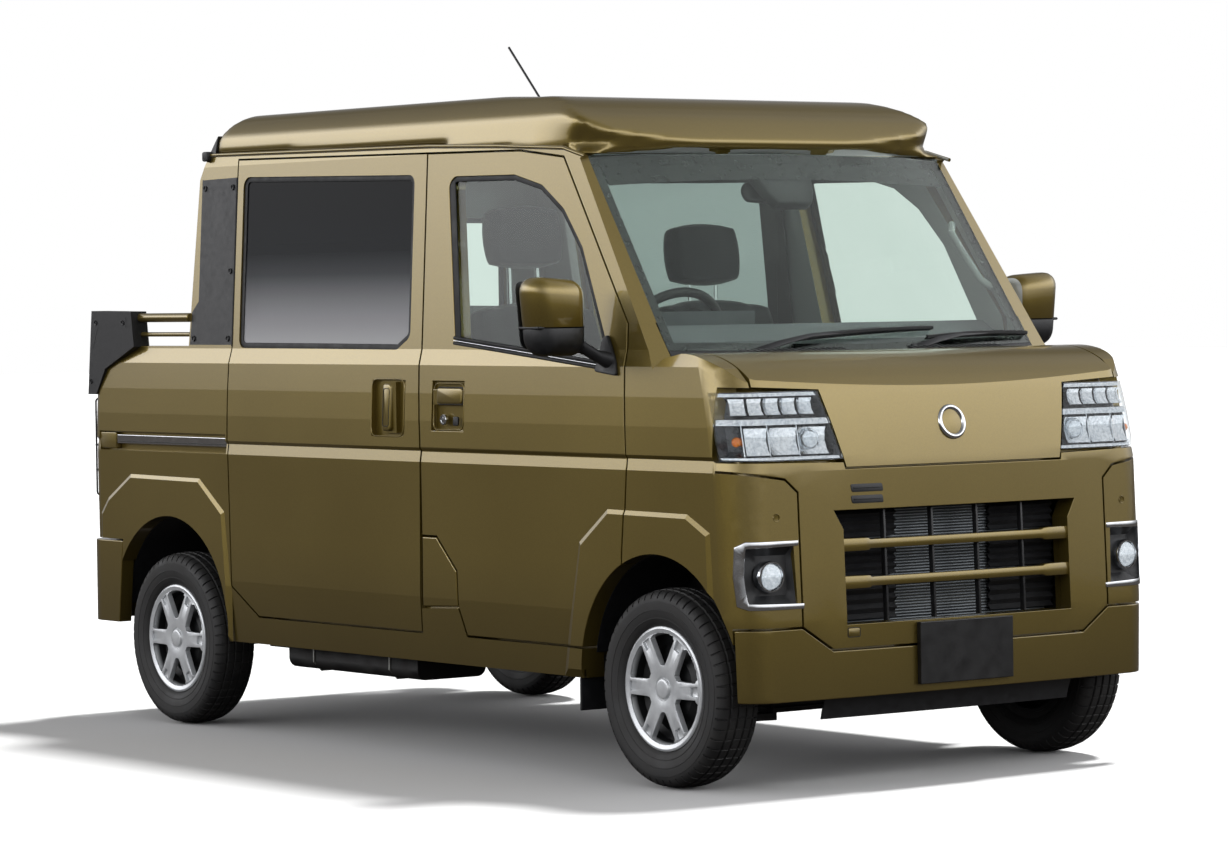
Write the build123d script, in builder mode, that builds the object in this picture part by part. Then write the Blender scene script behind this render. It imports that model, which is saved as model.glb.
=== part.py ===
"""Small four-door deck van: a cab with sliding rear doors and a short open load bed behind it.

Millimetres. +X is forward, +Y is the vehicle's left and +Z is up. The origin is on the ground
under the middle of the vehicle. The right-hand pieces are drawn first and mirrored to the left.
"""

import os
from math import atan2, cos, hypot, radians, sin

from build123d import *

os.makedirs("parts", exist_ok=True)

# ---------------------------------------------------------------- driving dimensions
length = 3395.0
width = 1475.0
roof_height = 1890.0
wheelbase = 2450.0
front_overhang = 412.5
track = 1305.0

panel_gap = 6.0
door_thickness = 60.0
wall_thickness = 40.0
roof_thickness = 35.0
skin_thickness = 15.0
glass_thickness = 6.0
glass_depth = 8.0
seat_fit = 0.2
running_fit = 0.05

nose_x = length / 2
tail_x = -length / 2
front_axle_x = nose_x - front_overhang
rear_axle_x = front_axle_x - wheelbase
half_width = width / 2

# ---------------------------------------------------------------- wheels and steering
tyre_radius = 267.0
tyre_width = 145.0
rim_radius = 152.0
cover_radius = 167.0
hub_bore_radius = 20.0
hub_z = tyre_radius
wheel_y = track / 2
front_arch_radius = 325.0
front_arch_z = 300.0
rear_arch_radius = 335.0
rear_arch_z = 312.0
housing_inner_y = 432.0
housing_thickness = 8.0
kingpin_foot_y = 590.0
kingpin_foot_z = 180.0
kingpin_top_y = 480.0
kingpin_top_z = 590.0
strut_radius = 24.0

# ---------------------------------------------------------------- body levels
# z, half width, how far the nose lies behind the front plate, corner radius
BODY_LEVELS = [
    (235.0, 716.0, 14.0, 90.0),
    (461.0, 730.0, 15.0, 105.0),
    (845.0, 733.5, 33.0, 110.0),
    (876.0, 729.0, 37.0, 110.0),
    (886.0, 735.0, 39.0, 110.0),
    (962.0, 733.0, 54.0, 110.0),
    (1040.0, 729.0, 74.0, 110.0),
    (1120.0, 723.0, 100.0, 110.0),
    (1165.0, 710.0, 115.0, 110.0),
    (1720.0, 655.0, 300.0, 110.0),
    (1800.0, 640.0, 330.0, 110.0),
    (1900.0, 618.0, 360.0, 110.0),
]
front_bow = 20.0
rear_bow = 14.0
tail_corner = 50.0
roof_shoulder_z = 1808.0
roof_edge_y = 520.0
roof_edge_drop = 12.0
roof_front_x = 915.0
roof_front_z = 1703.0
roof_lip_x = 948.0
roof_lip_z = 1722.0
roof_bow = 40.0
roof_corner_radius = 150.0
roof_rear_x = -962.0
roof_rear_z = 1879.0
gutter_rear_x = -1035.0
gutter_rear_z = 1756.0
cab_rear_x = -1072.0
bed_top_z = 1172.0
bed_rear_x = -1640.0
bed_corner_x = -1586.0
sill_z = 277.0
screen_foot_x = 1312.0
screen_foot_z = 1142.0
screen_bow = 50.0
hood_rear_x = 1384.0
hood_rear_z = 1155.0
hood_front_x = 1625.0
hood_front_z = 1052.0

# ---------------------------------------------------------------- side outlines: (x, z) on gap lines
B_GAP = [(189.0, 359.0), (204.0, 892.0), (181.0, 1239.0), (149.0, 1723.0)]
FRONT_DOOR = B_GAP[1:] + [
    (600.0, 1716.0), (805.0, 1692.0), (1142.0, 1236.0), (1167.0, 856.0), (1144.0, 608.0),
    (1144.0, 359.0), (410.0, 359.0), (375.0, 439.0), (371.0, 542.0), (276.0, 635.0), (203.0, 635.0),
]
SLIDE_DOOR = B_GAP + [
    (-859.0, 1738.0), (-823.0, 1170.0), (-814.0, 445.0), (-671.0, 359.0),
]
FRONT_WINDOW = [
    (348.0, 1182.0), (262.0, 1652.0), (580.0, 1648.0), (712.0, 1616.0), (820.0, 1548.0), (916.0, 1442.0),
    (1089.0, 1112.0),
]
SLIDE_WINDOW = [
    (-784.0, 1167.0), (-822.0, 1684.0), (92.0, 1663.0), (124.0, 1199.0), (60.0, 1163.0),
]
CLADDING = [
    (-1058.0, 1681.0), (-1032.0, 1309.0), (-1066.0, 1276.0), (-1066.0, 1176.0),
    (-826.0, 1176.0), (-862.0, 1684.0),
]
SIDE_ZONE = [
    (bed_rear_x - 50.0, sill_z), (1144.0, sill_z), (1144.0, 608.0), (1167.0, 856.0), (1144.0, 1236.0),
    (1400.0, 1236.0), (960.0, 1640.0), (914.0, 1682.0), (805.0, 1714.0), (149.0, 1741.0),
    (gutter_rear_x - 60.0, gutter_rear_z), (bed_rear_x - 50.0, gutter_rear_z),
]
FENDER_ZONE = [
    (1144.0, 200.0), (1144.0, 608.0), (1167.0, 856.0), (1144.0, 1239.0), (1400.0, 1239.0),
    (1800.0, 900.0), (1800.0, 200.0),
]
ROOF_ZONE = [
    (1400.0, 1240.0), (960.0, 1640.0), (914.0, 1682.0), (805.0, 1714.0), (149.0, 1741.0),
    (gutter_rear_x - 60.0, gutter_rear_z), (gutter_rear_x - 60.0, 2000.0), (1400.0, 2000.0),
]
REAR_BUMPER = [(-1439.0, 563.0), (-1474.0, 240.0), (-1800.0, 240.0), (-1800.0, 563.0)]
# the raised lips round the wheel arches
ARCH_FLARES = [
    [(925.0, 445.0), (963.0, 637.0), (1084.0, 726.0), (1421.0, 723.0), (1505.0, 680.0), (1520.0, 300.0),
     (900.0, 300.0)],
    [(-1560.0, 640.0), (-1520.0, 684.0), (-1386.0, 760.0), (-988.0, 756.0), (-859.0, 662.0),
     (-838.0, 445.0), (-838.0, 300.0), (-1560.0, 300.0)],
]
flare_depth = 10.0
flare_slope = 24.0
FUEL_LID = [(203.0, 635.0), (276.0, 635.0), (371.0, 542.0), (375.0, 439.0), (198.0, 431.0)]
# ---------------------------------------------------------------- front outlines: (y, z), right-hand half
centre_lap = 20.0
grille_top_z = 740.0
grille_bottom_z = 440.0
grille_half = 400.0
grille_flare = 30.0
cheek_y = 545.0
cheek_top_z = 826.0
bumper_top_z = 440.0
bumper_vee_y = 446.0
bumper_vee_z = 376.0
bumper_bottom_z = 245.0
bumper_rear_x = 1600.0
hood_bottom_z = 850.0
hood_side_y = 650.0
LAMP = [(385.0, 868.0), (437.0, 1054.0), (900.0, 1074.0), (900.0, 878.0)]
HOOD = [(-centre_lap, hood_bottom_z), (383.0, hood_bottom_z), (437.0, 1054.0), (hood_side_y, 1064.0),
        (hood_side_y, 1300.0), (-centre_lap, 1300.0)]
FRONT_PANEL = [(-centre_lap, bumper_vee_z), (bumper_vee_y, bumper_vee_z), (cheek_y, bumper_top_z),
               (cheek_y, 791.0), (585.0, cheek_top_z), (900.0, 872.0), (900.0, 905.0),
               (395.0, 905.0), (383.0, hood_bottom_z), (-centre_lap, hood_bottom_z)]
GRILLE = [(-centre_lap, grille_bottom_z), (grille_half, grille_bottom_z), (grille_half, 690.0),
          (grille_half + grille_flare, grille_top_z), (-centre_lap, grille_top_z)]
BUMPER = [(-centre_lap, bumper_bottom_z), (900.0, bumper_bottom_z), (900.0, bumper_top_z),
          (cheek_y, bumper_top_z), (bumper_vee_y, bumper_vee_z), (-centre_lap, bumper_vee_z)]
FOG = [(560.0, 500.0), (712.0, 500.0), (712.0, 656.0), (566.0, 656.0)]
lamp_rear_x = 1534.0
screen_top_y = 632.0
screen_top_z = 1694.0
screen_low_y = 652.0
screen_low_z = 1160.0
screen_centre_low_z = 1146.0
SCREEN = [(-centre_lap, screen_centre_low_z), (screen_low_y, screen_low_z), (screen_top_y, screen_top_z),
          (-centre_lap, screen_top_z + 8.0)]
cowl_low_z = 1090.0

# ---------------------------------------------------------------- bed, floor and frame
bed_floor_z = 690.0
bed_floor_thickness = 30.0
tailgate_thickness = 45.0
tailgate_low_z = 585.0
tailgate_top_z = 1165.0
tailgate_half = 596.0
rail_slot_low_z = 845.0
rail_slot_top_z = 905.0
rail_slot_depth = 26.0
rail_front_x = -830.0
rail_rear_x = -1574.0
guard_z = 1260.0
guard_tube_radius = 14.0
guard_y = 700.0
guard_front_x = -1372.0
guard_rear_x = -1612.0
floor_z = 340.0
floor_thickness = 30.0
frame_rail_y = 360.0
frame_rail_width = 60.0
frame_rail_height = 80.0
frame_low_z = 240.0
frame_rear_rise = 180.0


def plan_face(z, half, nose, tail, corner):
    """Plan of the body at one height: bowed ends joined to straight sides by round corners."""
    centre_x = nose - front_bow - corner
    centre_y = half - corner
    tail_centre_x = tail + rear_bow + tail_corner
    tail_centre_y = half - tail_corner
    with BuildSketch(Plane.XY.offset(z)) as plan:
        with BuildLine():
            right_side = Line((tail_centre_x, -half), (centre_x, -half))
            nose_right = RadiusArc(right_side @ 1, (centre_x + corner, -centre_y), -corner)
            nose_bow = ThreePointArc(nose_right @ 1, (nose, 0), (centre_x + corner, centre_y))
            nose_left = RadiusArc(nose_bow @ 1, (centre_x, half), -corner)
            left_side = Line(nose_left @ 1, (tail_centre_x, half))
            tail_left = RadiusArc(left_side @ 1, (tail_centre_x - tail_corner, tail_centre_y), -tail_corner)
            tail_arc = ThreePointArc(tail_left @ 1, (tail, 0), (tail_centre_x - tail_corner, -tail_centre_y))
            RadiusArc(tail_arc @ 1, right_side @ 0, -tail_corner)
        make_face()
    return plan.sketch.face()


screen_slope = atan2(roof_front_z - screen_foot_z, screen_foot_x - roof_front_x)
# local X is across the vehicle, local Y points into the cab and the normal runs up the glass
screen_plane = Plane(
    origin=(screen_foot_x, 0, screen_foot_z),
    x_dir=(0, 1, 0),
    z_dir=(-cos(screen_slope), 0, sin(screen_slope)),
)
screen_reach = half_width + 40.0
screen_length = 693.0


def screen_band(near_depth, far_depth, height):
    """A bowed slab up the windscreen, between two depths measured into the cab."""
    drop = screen_bow * (screen_reach / half_width) ** 2
    with BuildPart() as band:
        with BuildSketch(screen_plane):
            with BuildLine():
                near_arc = ThreePointArc(
                    (-screen_reach, near_depth + drop), (0, near_depth), (screen_reach, near_depth + drop)
                )
                far_arc = ThreePointArc(
                    (-screen_reach, far_depth + drop), (0, far_depth), (screen_reach, far_depth + drop)
                )
                Line(near_arc @ 0, far_arc @ 0)
                Line(near_arc @ 1, far_arc @ 1)
            make_face()
        extrude(amount=height)
    return band.part


def body_block(side_inset, roof_inset, end_inset):
    """The whole body as one solid, shrunk by an inset at the sides, the roof and the ends."""
    levels = [
        plan_face(
            z,
            half - side_inset,
            nose_x - setback - end_inset,
            bed_rear_x + end_inset,
            corner - min(side_inset, end_inset, corner / 2),
        )
        for z, half, setback, corner in BODY_LEVELS
    ]
    screen_front = screen_band(-400.0, roof_inset, screen_length)
    with BuildPart() as block:
        loft(levels, ruled=True)
        with BuildSketch(Plane.XZ):
            with BuildLine():
                Polyline(
                    (roof_rear_x, roof_rear_z),
                    (gutter_rear_x, gutter_rear_z),
                    (cab_rear_x, 1682.0),
                    (cab_rear_x, bed_top_z),
                    (bed_corner_x, bed_top_z),
                    (bed_rear_x + 10.0, bed_top_z - 74.0),
                    (bed_rear_x, 600.0),
                    (bed_rear_x, 0.0),
                    (nose_x + 100.0, 0.0),
                    (nose_x + 100.0, 900.0),
                    (hood_front_x, hood_front_z),
                )
                ThreePointArc((hood_front_x, hood_front_z), (1530.0, 1121.0), (hood_rear_x, hood_rear_z))
                Line((hood_rear_x, hood_rear_z), (screen_foot_x, screen_foot_z))
                Line((screen_foot_x, screen_foot_z), (roof_front_x, roof_front_z))
                Line((roof_front_x, roof_front_z), (roof_lip_x, roof_lip_z))
                ThreePointArc((roof_lip_x, roof_lip_z), (830.0, 1808.0), (560.0, 1868.0))
                ThreePointArc((560.0, 1868.0), (-100.0, roof_height), (roof_rear_x, roof_rear_z))
            make_face()
            if roof_inset > 0:
                offset(amount=-roof_inset, kind=Kind.INTERSECTION)
        extrude(amount=width, both=True, mode=Mode.INTERSECT)
        with BuildSketch(Plane.YZ):
            shoulder_y = 640.0 - side_inset
            edge_y = roof_edge_y - side_inset
            top_z = roof_height - roof_inset
            edge_z = top_z - roof_edge_drop
            shoulder_z = roof_shoulder_z - roof_inset
            with BuildLine():
                for side in (-1, 1):
                    Line((side * shoulder_y * 1.3, 0), (side * shoulder_y * 1.3, shoulder_z - 60.0))
                    Line(
                        (side * shoulder_y * 1.3, shoulder_z - 60.0),
                        (side * shoulder_y, shoulder_z),
                    )
                    ThreePointArc(
                        (side * shoulder_y, shoulder_z),
                        (side * (edge_y + 82.0), edge_z - 28.0),
                        (side * edge_y, edge_z),
                    )
                ThreePointArc((-edge_y, edge_z), (0, top_z), (edge_y, edge_z))
                Line((-shoulder_y * 1.3, 0), (shoulder_y * 1.3, 0))
            make_face()
        extrude(amount=length, both=True, mode=Mode.INTERSECT)
        add(screen_front, mode=Mode.SUBTRACT)
        with BuildSketch(Plane.XY.offset(roof_lip_z - 14.0)):
            with Locations((roof_lip_x, 0)):
                Rectangle(2 * roof_corner_radius, width)
            with BuildLine():
                lip_x = roof_lip_x - roof_inset
                side_y = 668.0 - side_inset
                corner_x = lip_x - roof_bow - roof_corner_radius
                corner_y = side_y - roof_corner_radius
                back = Line((corner_x, side_y), (corner_x - 400.0, side_y))
                far = Line((corner_x - 400.0, -side_y), (corner_x, -side_y))
                Line(back @ 1, far @ 0)
                round_x = corner_x + roof_corner_radius
                right_round = RadiusArc(far @ 1, (round_x, -corner_y), -roof_corner_radius)
                lip_arc = ThreePointArc(right_round @ 1, (lip_x, 0), (round_x, corner_y))
                RadiusArc(lip_arc @ 1, back @ 0, -roof_corner_radius)
            make_face(mode=Mode.SUBTRACT)
        extrude(amount=300.0, mode=Mode.SUBTRACT)
    return block.part


def side_prism(outline, grow, radius=0.0):
    """A side-view outline, grown by an amount, carried from the middle out to the right."""
    with BuildPart() as prism:
        with BuildSketch(Plane.XZ) as face:
            with BuildLine():
                Polyline(*outline, close=True)
            make_face()
            if grow:
                offset(amount=grow, kind=Kind.INTERSECTION)
            if radius:
                fillet(face.vertices(), radius=radius)
        extrude(amount=width)
    return prism.part


def side_cylinder(x, z, radius, near_y, far_y):
    """A cylinder across the vehicle on the right, between two distances from the middle."""
    with BuildPart() as roller:
        with BuildSketch(Plane.XZ.offset(near_y)):
            with Locations((x, z)):
                Circle(radius)
        extrude(amount=far_y - near_y)
    return roller.part


def front_prism(outline, grow):
    """A front-view outline (distance to the right, z) carried through the right-hand half."""
    with BuildPart() as prism:
        with BuildSketch(Plane.YZ):
            with BuildLine():
                Polyline(*[(-y, z) for y, z in outline], close=True)
            make_face()
            if grow:
                offset(amount=grow, kind=Kind.INTERSECTION)
        extrude(amount=length, both=True)
    return prism.part


def wheel_turning(x, y, profile):
    """A body of revolution about the wheel's axle; the profile is (distance outboard, radius)."""
    plane = Plane(origin=(x, -y, hub_z), x_dir=(0, -1, 0), z_dir=(-1, 0, 0))
    with BuildPart() as turning:
        with BuildSketch(plane):
            with BuildLine():
                Polyline(*profile, close=True)
            make_face()
        revolve(axis=Axis((x, -y, hub_z), (0, 1, 0)))
    return turning.part


def mirrored(piece):
    """The left-hand copy of a right-hand piece."""
    with BuildPart() as copy:
        mirror(piece, about=Plane.XZ)
    return copy.part


def flare_block(outline):
    """A wheel-arch lip: an outline at full width whose border slopes back to the body side."""
    faces = []
    for depth, grow in ((0.0, 0.0), (flare_depth, flare_slope)):
        with BuildSketch(Plane.XZ.offset(half_width - depth)) as face:
            with BuildLine():
                Polyline(*outline, close=True)
            make_face()
            if grow:
                offset(amount=grow, kind=Kind.INTERSECTION)
        faces.append(face.sketch.face())
    with BuildPart() as lip:
        loft(faces, ruled=True)
        with BuildSketch(Plane.XZ.offset(half_width - flare_depth - 30.0)):
            with BuildLine():
                Polyline(*outline, close=True)
            make_face()
        extrude(amount=30.5)
    return lip.part


def block_of(low, high):
    """A plain block between two corners."""
    with BuildPart() as block:
        with Locations(((low[0] + high[0]) / 2, (low[1] + high[1]) / 2, (low[2] + high[2]) / 2)):
            Box(high[0] - low[0], high[1] - low[1], high[2] - low[2])
    return block.part


half_gap = panel_gap / 2
seal_gap = 0.3
liner_thickness = 20.0
hinge_clearance = 7.0

arch_flares = [flare_block(outline) for outline in ARCH_FLARES]
outer_block = body_block(0.0, 0.0, 0.0)
for flare in arch_flares:
    outer_block = outer_block + flare + mirrored(flare)
inner_block = body_block(door_thickness, roof_thickness, wall_thickness)
side_core = body_block(door_thickness, 0.0, 0.0)
skin_core = body_block(skin_thickness, skin_thickness, skin_thickness)
liner_outer = body_block(
    door_thickness + seal_gap, roof_thickness + seal_gap, wall_thickness + seal_gap
)
liner_inner = body_block(
    door_thickness + liner_thickness, roof_thickness + liner_thickness, wall_thickness + liner_thickness
)
glass_outer = body_block(glass_depth, glass_depth, 0.0)
glass_inner = body_block(glass_depth + glass_thickness, glass_depth + glass_thickness, 0.0)

shell = outer_block - inner_block
side_wall = outer_block - side_core
outer_skin = outer_block - skin_core
liner = liner_outer - liner_inner
hinge_relief = block_of((1138.0, -width, 355.0), (1192.0, 0, 1250.0)) - body_block(
    door_thickness + hinge_clearance, roof_thickness + hinge_clearance, wall_thickness + hinge_clearance
)
glazing = glass_outer - glass_inner

right_half = block_of((tail_x, -width, 0), (nose_x, 0, 2000.0))
front_door_zone = side_prism(FRONT_DOOR, -half_gap)
slide_door_zone = side_prism(SLIDE_DOOR, -half_gap)
front_arch = side_cylinder(front_axle_x, front_arch_z, front_arch_radius, 420.0, width)
rear_arch = side_cylinder(rear_axle_x, rear_arch_z, rear_arch_radius, 420.0, width)
housing_gap = 0.3
front_housing_out = front_arch_radius + housing_thickness + housing_gap
rear_housing_out = rear_arch_radius + housing_thickness + housing_gap
housing_outer_y = 646.0
front_housing_room = side_cylinder(
    front_axle_x, front_arch_z, front_housing_out, housing_inner_y - housing_thickness - housing_gap, width
)
rear_housing_room = side_cylinder(
    rear_axle_x, rear_arch_z, rear_housing_out, housing_inner_y - housing_thickness - housing_gap, width
)

screen_room = (front_prism(SCREEN, 0.0) + mirrored(front_prism(SCREEN, 0.0))).intersect(
    block_of((700.0, -width, 0), (screen_foot_x, width, 2000.0))
)

# ================================================================ doors
with BuildPart() as front_door:
    add(side_wall)
    add(front_door_zone, mode=Mode.INTERSECT)
    add(side_prism(FRONT_WINDOW, 0.0, 34.0), mode=Mode.SUBTRACT)
    add(front_arch, mode=Mode.SUBTRACT)
    add(
        block_of((260.0, -width, 935.0), (416.0, -half_width + 22.0, 1075.0)),
        mode=Mode.SUBTRACT,
    )
    add(block_of((268.0, -half_width + 7.0, 1008.0), (408.0, -half_width + 34.0, 1052.0)))

with BuildPart() as slide_door:
    add(side_wall)
    add(slide_door_zone, mode=Mode.INTERSECT)
    add(side_prism(SLIDE_WINDOW, 0.0, 30.0), mode=Mode.SUBTRACT)
    add(rear_arch, mode=Mode.SUBTRACT)
    add(block_of((-41.0, -width, 915.0), (127.0, -half_width + 22.0, 1077.0)), mode=Mode.SUBTRACT)
    add(block_of((9.0, -half_width + 8.0, 925.0), (81.0, -half_width + 34.0, 1071.0)))

with BuildPart() as front_glass:
    add(glazing)
    add(side_prism(FRONT_WINDOW, -seat_fit, 34.0), mode=Mode.INTERSECT)

with BuildPart() as slide_glass:
    add(glazing)
    add(side_prism(SLIDE_WINDOW, -seat_fit, 30.0), mode=Mode.INTERSECT)


# ================================================================ body sides
tail_lamp_zone = block_of((bed_rear_x - 50.0, -716.0, 700.0), (-1600.0, -640.0, 1004.0))
cladding_zone = side_prism(CLADDING, 0.0)
with BuildPart() as cladding:
    add(outer_skin)
    add(side_wall, mode=Mode.INTERSECT)
    add(cladding_zone, mode=Mode.INTERSECT)

with BuildPart() as side_body:
    add(side_wall)
    add(block_of((tail_x, -width, 0), (nose_x, -tailgate_half - panel_gap, 2000.0)), mode=Mode.INTERSECT)
    add(side_prism(SIDE_ZONE, 0.0), mode=Mode.INTERSECT)
    add(screen_room, mode=Mode.SUBTRACT)
    add(side_prism(FRONT_DOOR, half_gap), mode=Mode.SUBTRACT)
    add(side_prism(SLIDE_DOOR, half_gap), mode=Mode.SUBTRACT)
    add(front_arch, mode=Mode.SUBTRACT)
    add(rear_arch, mode=Mode.SUBTRACT)
    add(side_prism(REAR_BUMPER, half_gap), mode=Mode.SUBTRACT)
    add(cladding.part, mode=Mode.SUBTRACT)
    add(
        block_of(
            (rail_rear_x, -width, rail_slot_low_z),
            (rail_front_x, -half_width + rail_slot_depth, rail_slot_top_z),
        ),
        mode=Mode.SUBTRACT,
    )
    add(tail_lamp_zone, mode=Mode.SUBTRACT)

with BuildPart() as tail_lamp:
    add(side_wall)
    add(tail_lamp_zone, mode=Mode.INTERSECT)

with BuildPart() as slide_rail:
    add(
        block_of(
            (rail_rear_x, -half_width + 9.0, 866.0),
            (rail_front_x, -half_width + rail_slot_depth, 894.0),
        )
    )

# ================================================================ nose
hood_zone = front_prism(HOOD, -half_gap) + mirrored(front_prism(HOOD, -half_gap))
hood_hole = front_prism(HOOD, half_gap) + mirrored(front_prism(HOOD, half_gap))
nose_box = block_of((hood_rear_x + half_gap, -width, 0), (nose_x, width, 2000.0))
face_box = block_of((lamp_rear_x + 8.0, -width, 0), (nose_x, width, 2000.0))
lamp_box = block_of((lamp_rear_x, -width, 0), (nose_x, 0, 2000.0))

with BuildPart() as hood:
    add(shell)
    add(hood_zone, mode=Mode.INTERSECT)
    add(nose_box, mode=Mode.INTERSECT)

with BuildPart() as head_lamp:
    add(shell)
    add(front_prism(LAMP, -half_gap / 2), mode=Mode.INTERSECT)
    add(lamp_box, mode=Mode.INTERSECT)

with BuildPart() as fog_lamp:
    add(skin_core - inner_block)
    add(front_prism(FOG, 0.0), mode=Mode.INTERSECT)
    add(face_box, mode=Mode.INTERSECT)

with BuildPart() as front_panel_half:
    add(shell)
    add(front_prism(FRONT_PANEL, -half_gap), mode=Mode.INTERSECT)
    add(face_box, mode=Mode.INTERSECT)
    add(front_prism(LAMP, half_gap), mode=Mode.SUBTRACT)
    add(front_prism(GRILLE, 0.0), mode=Mode.SUBTRACT)

with BuildPart() as front_panel:
    add(front_panel_half.part)
    add(mirrored(front_panel_half.part))

with BuildPart() as bumper_half:
    add(shell)
    add(front_prism(BUMPER, -half_gap), mode=Mode.INTERSECT)
    add(block_of((bumper_rear_x, -width, 0), (nose_x, 1.0, 2000.0)), mode=Mode.INTERSECT)

with BuildPart() as front_bumper:
    add(bumper_half.part)
    add(mirrored(bumper_half.part))

with BuildPart() as grille_half_bars:
    add(block_of((1500.0, -grille_half, 634.0), (nose_x, 1.0, 662.0)))
    add(block_of((1500.0, -grille_half, 537.0), (nose_x, 1.0, 562.0)))
    for bar_y in (80.0, 245.0):
        add(block_of((1500.0, -bar_y - 5.0, grille_bottom_z), (nose_x, -bar_y + 5.0, grille_top_z)))
    add(skin_core - inner_block, mode=Mode.INTERSECT)
    add(front_prism(GRILLE, 0.0), mode=Mode.INTERSECT)

with BuildPart() as grille:
    add(grille_half_bars.part)
    add(mirrored(grille_half_bars.part))

with BuildPart() as fender:
    add(shell)
    add(right_half, mode=Mode.INTERSECT)
    add(side_prism(FENDER_ZONE, -half_gap), mode=Mode.INTERSECT)
    add(screen_room, mode=Mode.SUBTRACT)
    add(block_of((tail_x, -hood_side_y - half_gap, 1040.0), (hood_rear_x, 0, 2000.0)), mode=Mode.SUBTRACT)
    add(hood_hole, mode=Mode.SUBTRACT)
    add(front_prism(FRONT_PANEL, half_gap).intersect(face_box), mode=Mode.SUBTRACT)
    add(front_prism(LAMP, half_gap / 2).intersect(lamp_box), mode=Mode.SUBTRACT)
    add(
        front_prism(BUMPER, half_gap).intersect(
            block_of((bumper_rear_x - panel_gap, -width, 0), (nose_x, 0, 2000.0))
        ),
        mode=Mode.SUBTRACT,
    )
    add(block_of((tail_x, -width, 0), (nose_x, 0, sill_z)), mode=Mode.SUBTRACT)
    add(block_of((1300.0, -cheek_y, 0), (nose_x, 0, 1000.0)), mode=Mode.SUBTRACT)
    add(front_arch, mode=Mode.SUBTRACT)
    add(front_prism(FOG, 0.0).intersect(face_box), mode=Mode.SUBTRACT)

with BuildPart() as cowl:
    add(shell)
    add(
        block_of(
            (1230.0, -hood_side_y, cowl_low_z), (hood_rear_x - half_gap, hood_side_y, 1170.0)
        ),
        mode=Mode.INTERSECT,
    )
    add(screen_room, mode=Mode.SUBTRACT)

with BuildPart() as windscreen:
    add(screen_band(0.0, glass_thickness, screen_length))
    add(front_prism(SCREEN, -seat_fit) + mirrored(front_prism(SCREEN, -seat_fit)), mode=Mode.INTERSECT)
    add(outer_block, mode=Mode.INTERSECT)

# ================================================================ roof and cab rear
with BuildPart() as roof_panel:
    add(shell)
    add(side_prism(ROOF_ZONE, 0.0) + mirrored(side_prism(ROOF_ZONE, 0.0)), mode=Mode.INTERSECT)
    add(screen_room, mode=Mode.SUBTRACT)
    add(block_of((gutter_rear_x - 60.0, -width, 1000.0), (-1000.0, width, 1900.0)), mode=Mode.SUBTRACT)

with BuildPart() as roof_rear_band:
    add(shell)
    add(side_prism(ROOF_ZONE, 0.0) + mirrored(side_prism(ROOF_ZONE, 0.0)), mode=Mode.INTERSECT)
    add(block_of((gutter_rear_x - 60.0, -width, 1000.0), (-1000.0, width, 1900.0)), mode=Mode.INTERSECT)

rear_wall_inner_x = cab_rear_x + roof_thickness
frame_rear_z = frame_low_z + frame_rear_rise
frame_rear_top_z = frame_rear_z + 60.0
rear_wall_foot_z = frame_rear_top_z + 0.3
with BuildPart() as cab_rear_wall:
    add(side_core)
    add(
        block_of((cab_rear_x, -width, rear_wall_foot_z), (rear_wall_inner_x, width, gutter_rear_z)),
        mode=Mode.INTERSECT,
    )
    with BuildSketch(Plane.YZ.offset(cab_rear_x - 5.0)):
        with Locations((0, 1400.0)):
            RectangleRounded(960.0, 330.0, 40.0)
    extrude(amount=60.0, mode=Mode.SUBTRACT)
    add(rear_housing_room + mirrored(rear_housing_room), mode=Mode.SUBTRACT)

with BuildPart() as rear_glass:
    with BuildSketch(Plane.YZ.offset(cab_rear_x + 12.0)):
        with Locations((0, 1400.0)):
            RectangleRounded(960.0 - 2 * seat_fit, 330.0 - 2 * seat_fit, 40.0)
    extrude(amount=glass_thickness)

# ================================================================ inner frame behind the panels
frame_ring = (
    side_prism(FRONT_DOOR, 24.0)
    + side_prism(SLIDE_DOOR, 24.0)
    - side_prism(FRONT_DOOR, -18.0)
    - side_prism(SLIDE_DOOR, -18.0)
)
nose_ring = block_of((1175.0, -width, 300.0), (nose_x, width, 1300.0))
with BuildPart() as inner_frame:
    add(liner)
    add(frame_ring + mirrored(frame_ring) + nose_ring, mode=Mode.INTERSECT)
    add(front_arch + mirrored(front_arch), mode=Mode.SUBTRACT)
    add(rear_arch + mirrored(rear_arch), mode=Mode.SUBTRACT)
    add(front_housing_room + mirrored(front_housing_room), mode=Mode.SUBTRACT)
    add(rear_housing_room + mirrored(rear_housing_room), mode=Mode.SUBTRACT)
    add(screen_room, mode=Mode.SUBTRACT)
    add(hinge_relief + mirrored(hinge_relief), mode=Mode.SUBTRACT)
    add(front_prism(GRILLE, 0.0) + mirrored(front_prism(GRILLE, 0.0)), mode=Mode.SUBTRACT)
    add(front_prism(HOOD, -40.0) + mirrored(front_prism(HOOD, -40.0)), mode=Mode.SUBTRACT)

# ================================================================ floor and chassis
kingpin_top = (front_axle_x, -kingpin_top_y, kingpin_top_z)
kingpin_rise = hypot(kingpin_top_z - kingpin_foot_z, kingpin_foot_y - kingpin_top_y)
kingpin_up = (
    0,
    (kingpin_foot_y - kingpin_top_y) / kingpin_rise,
    (kingpin_top_z - kingpin_foot_z) / kingpin_rise,
)
kingpin_plane = Plane(origin=kingpin_top, x_dir=(1, 0, 0), z_dir=kingpin_up)

housing_foot_z = 372.0
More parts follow.
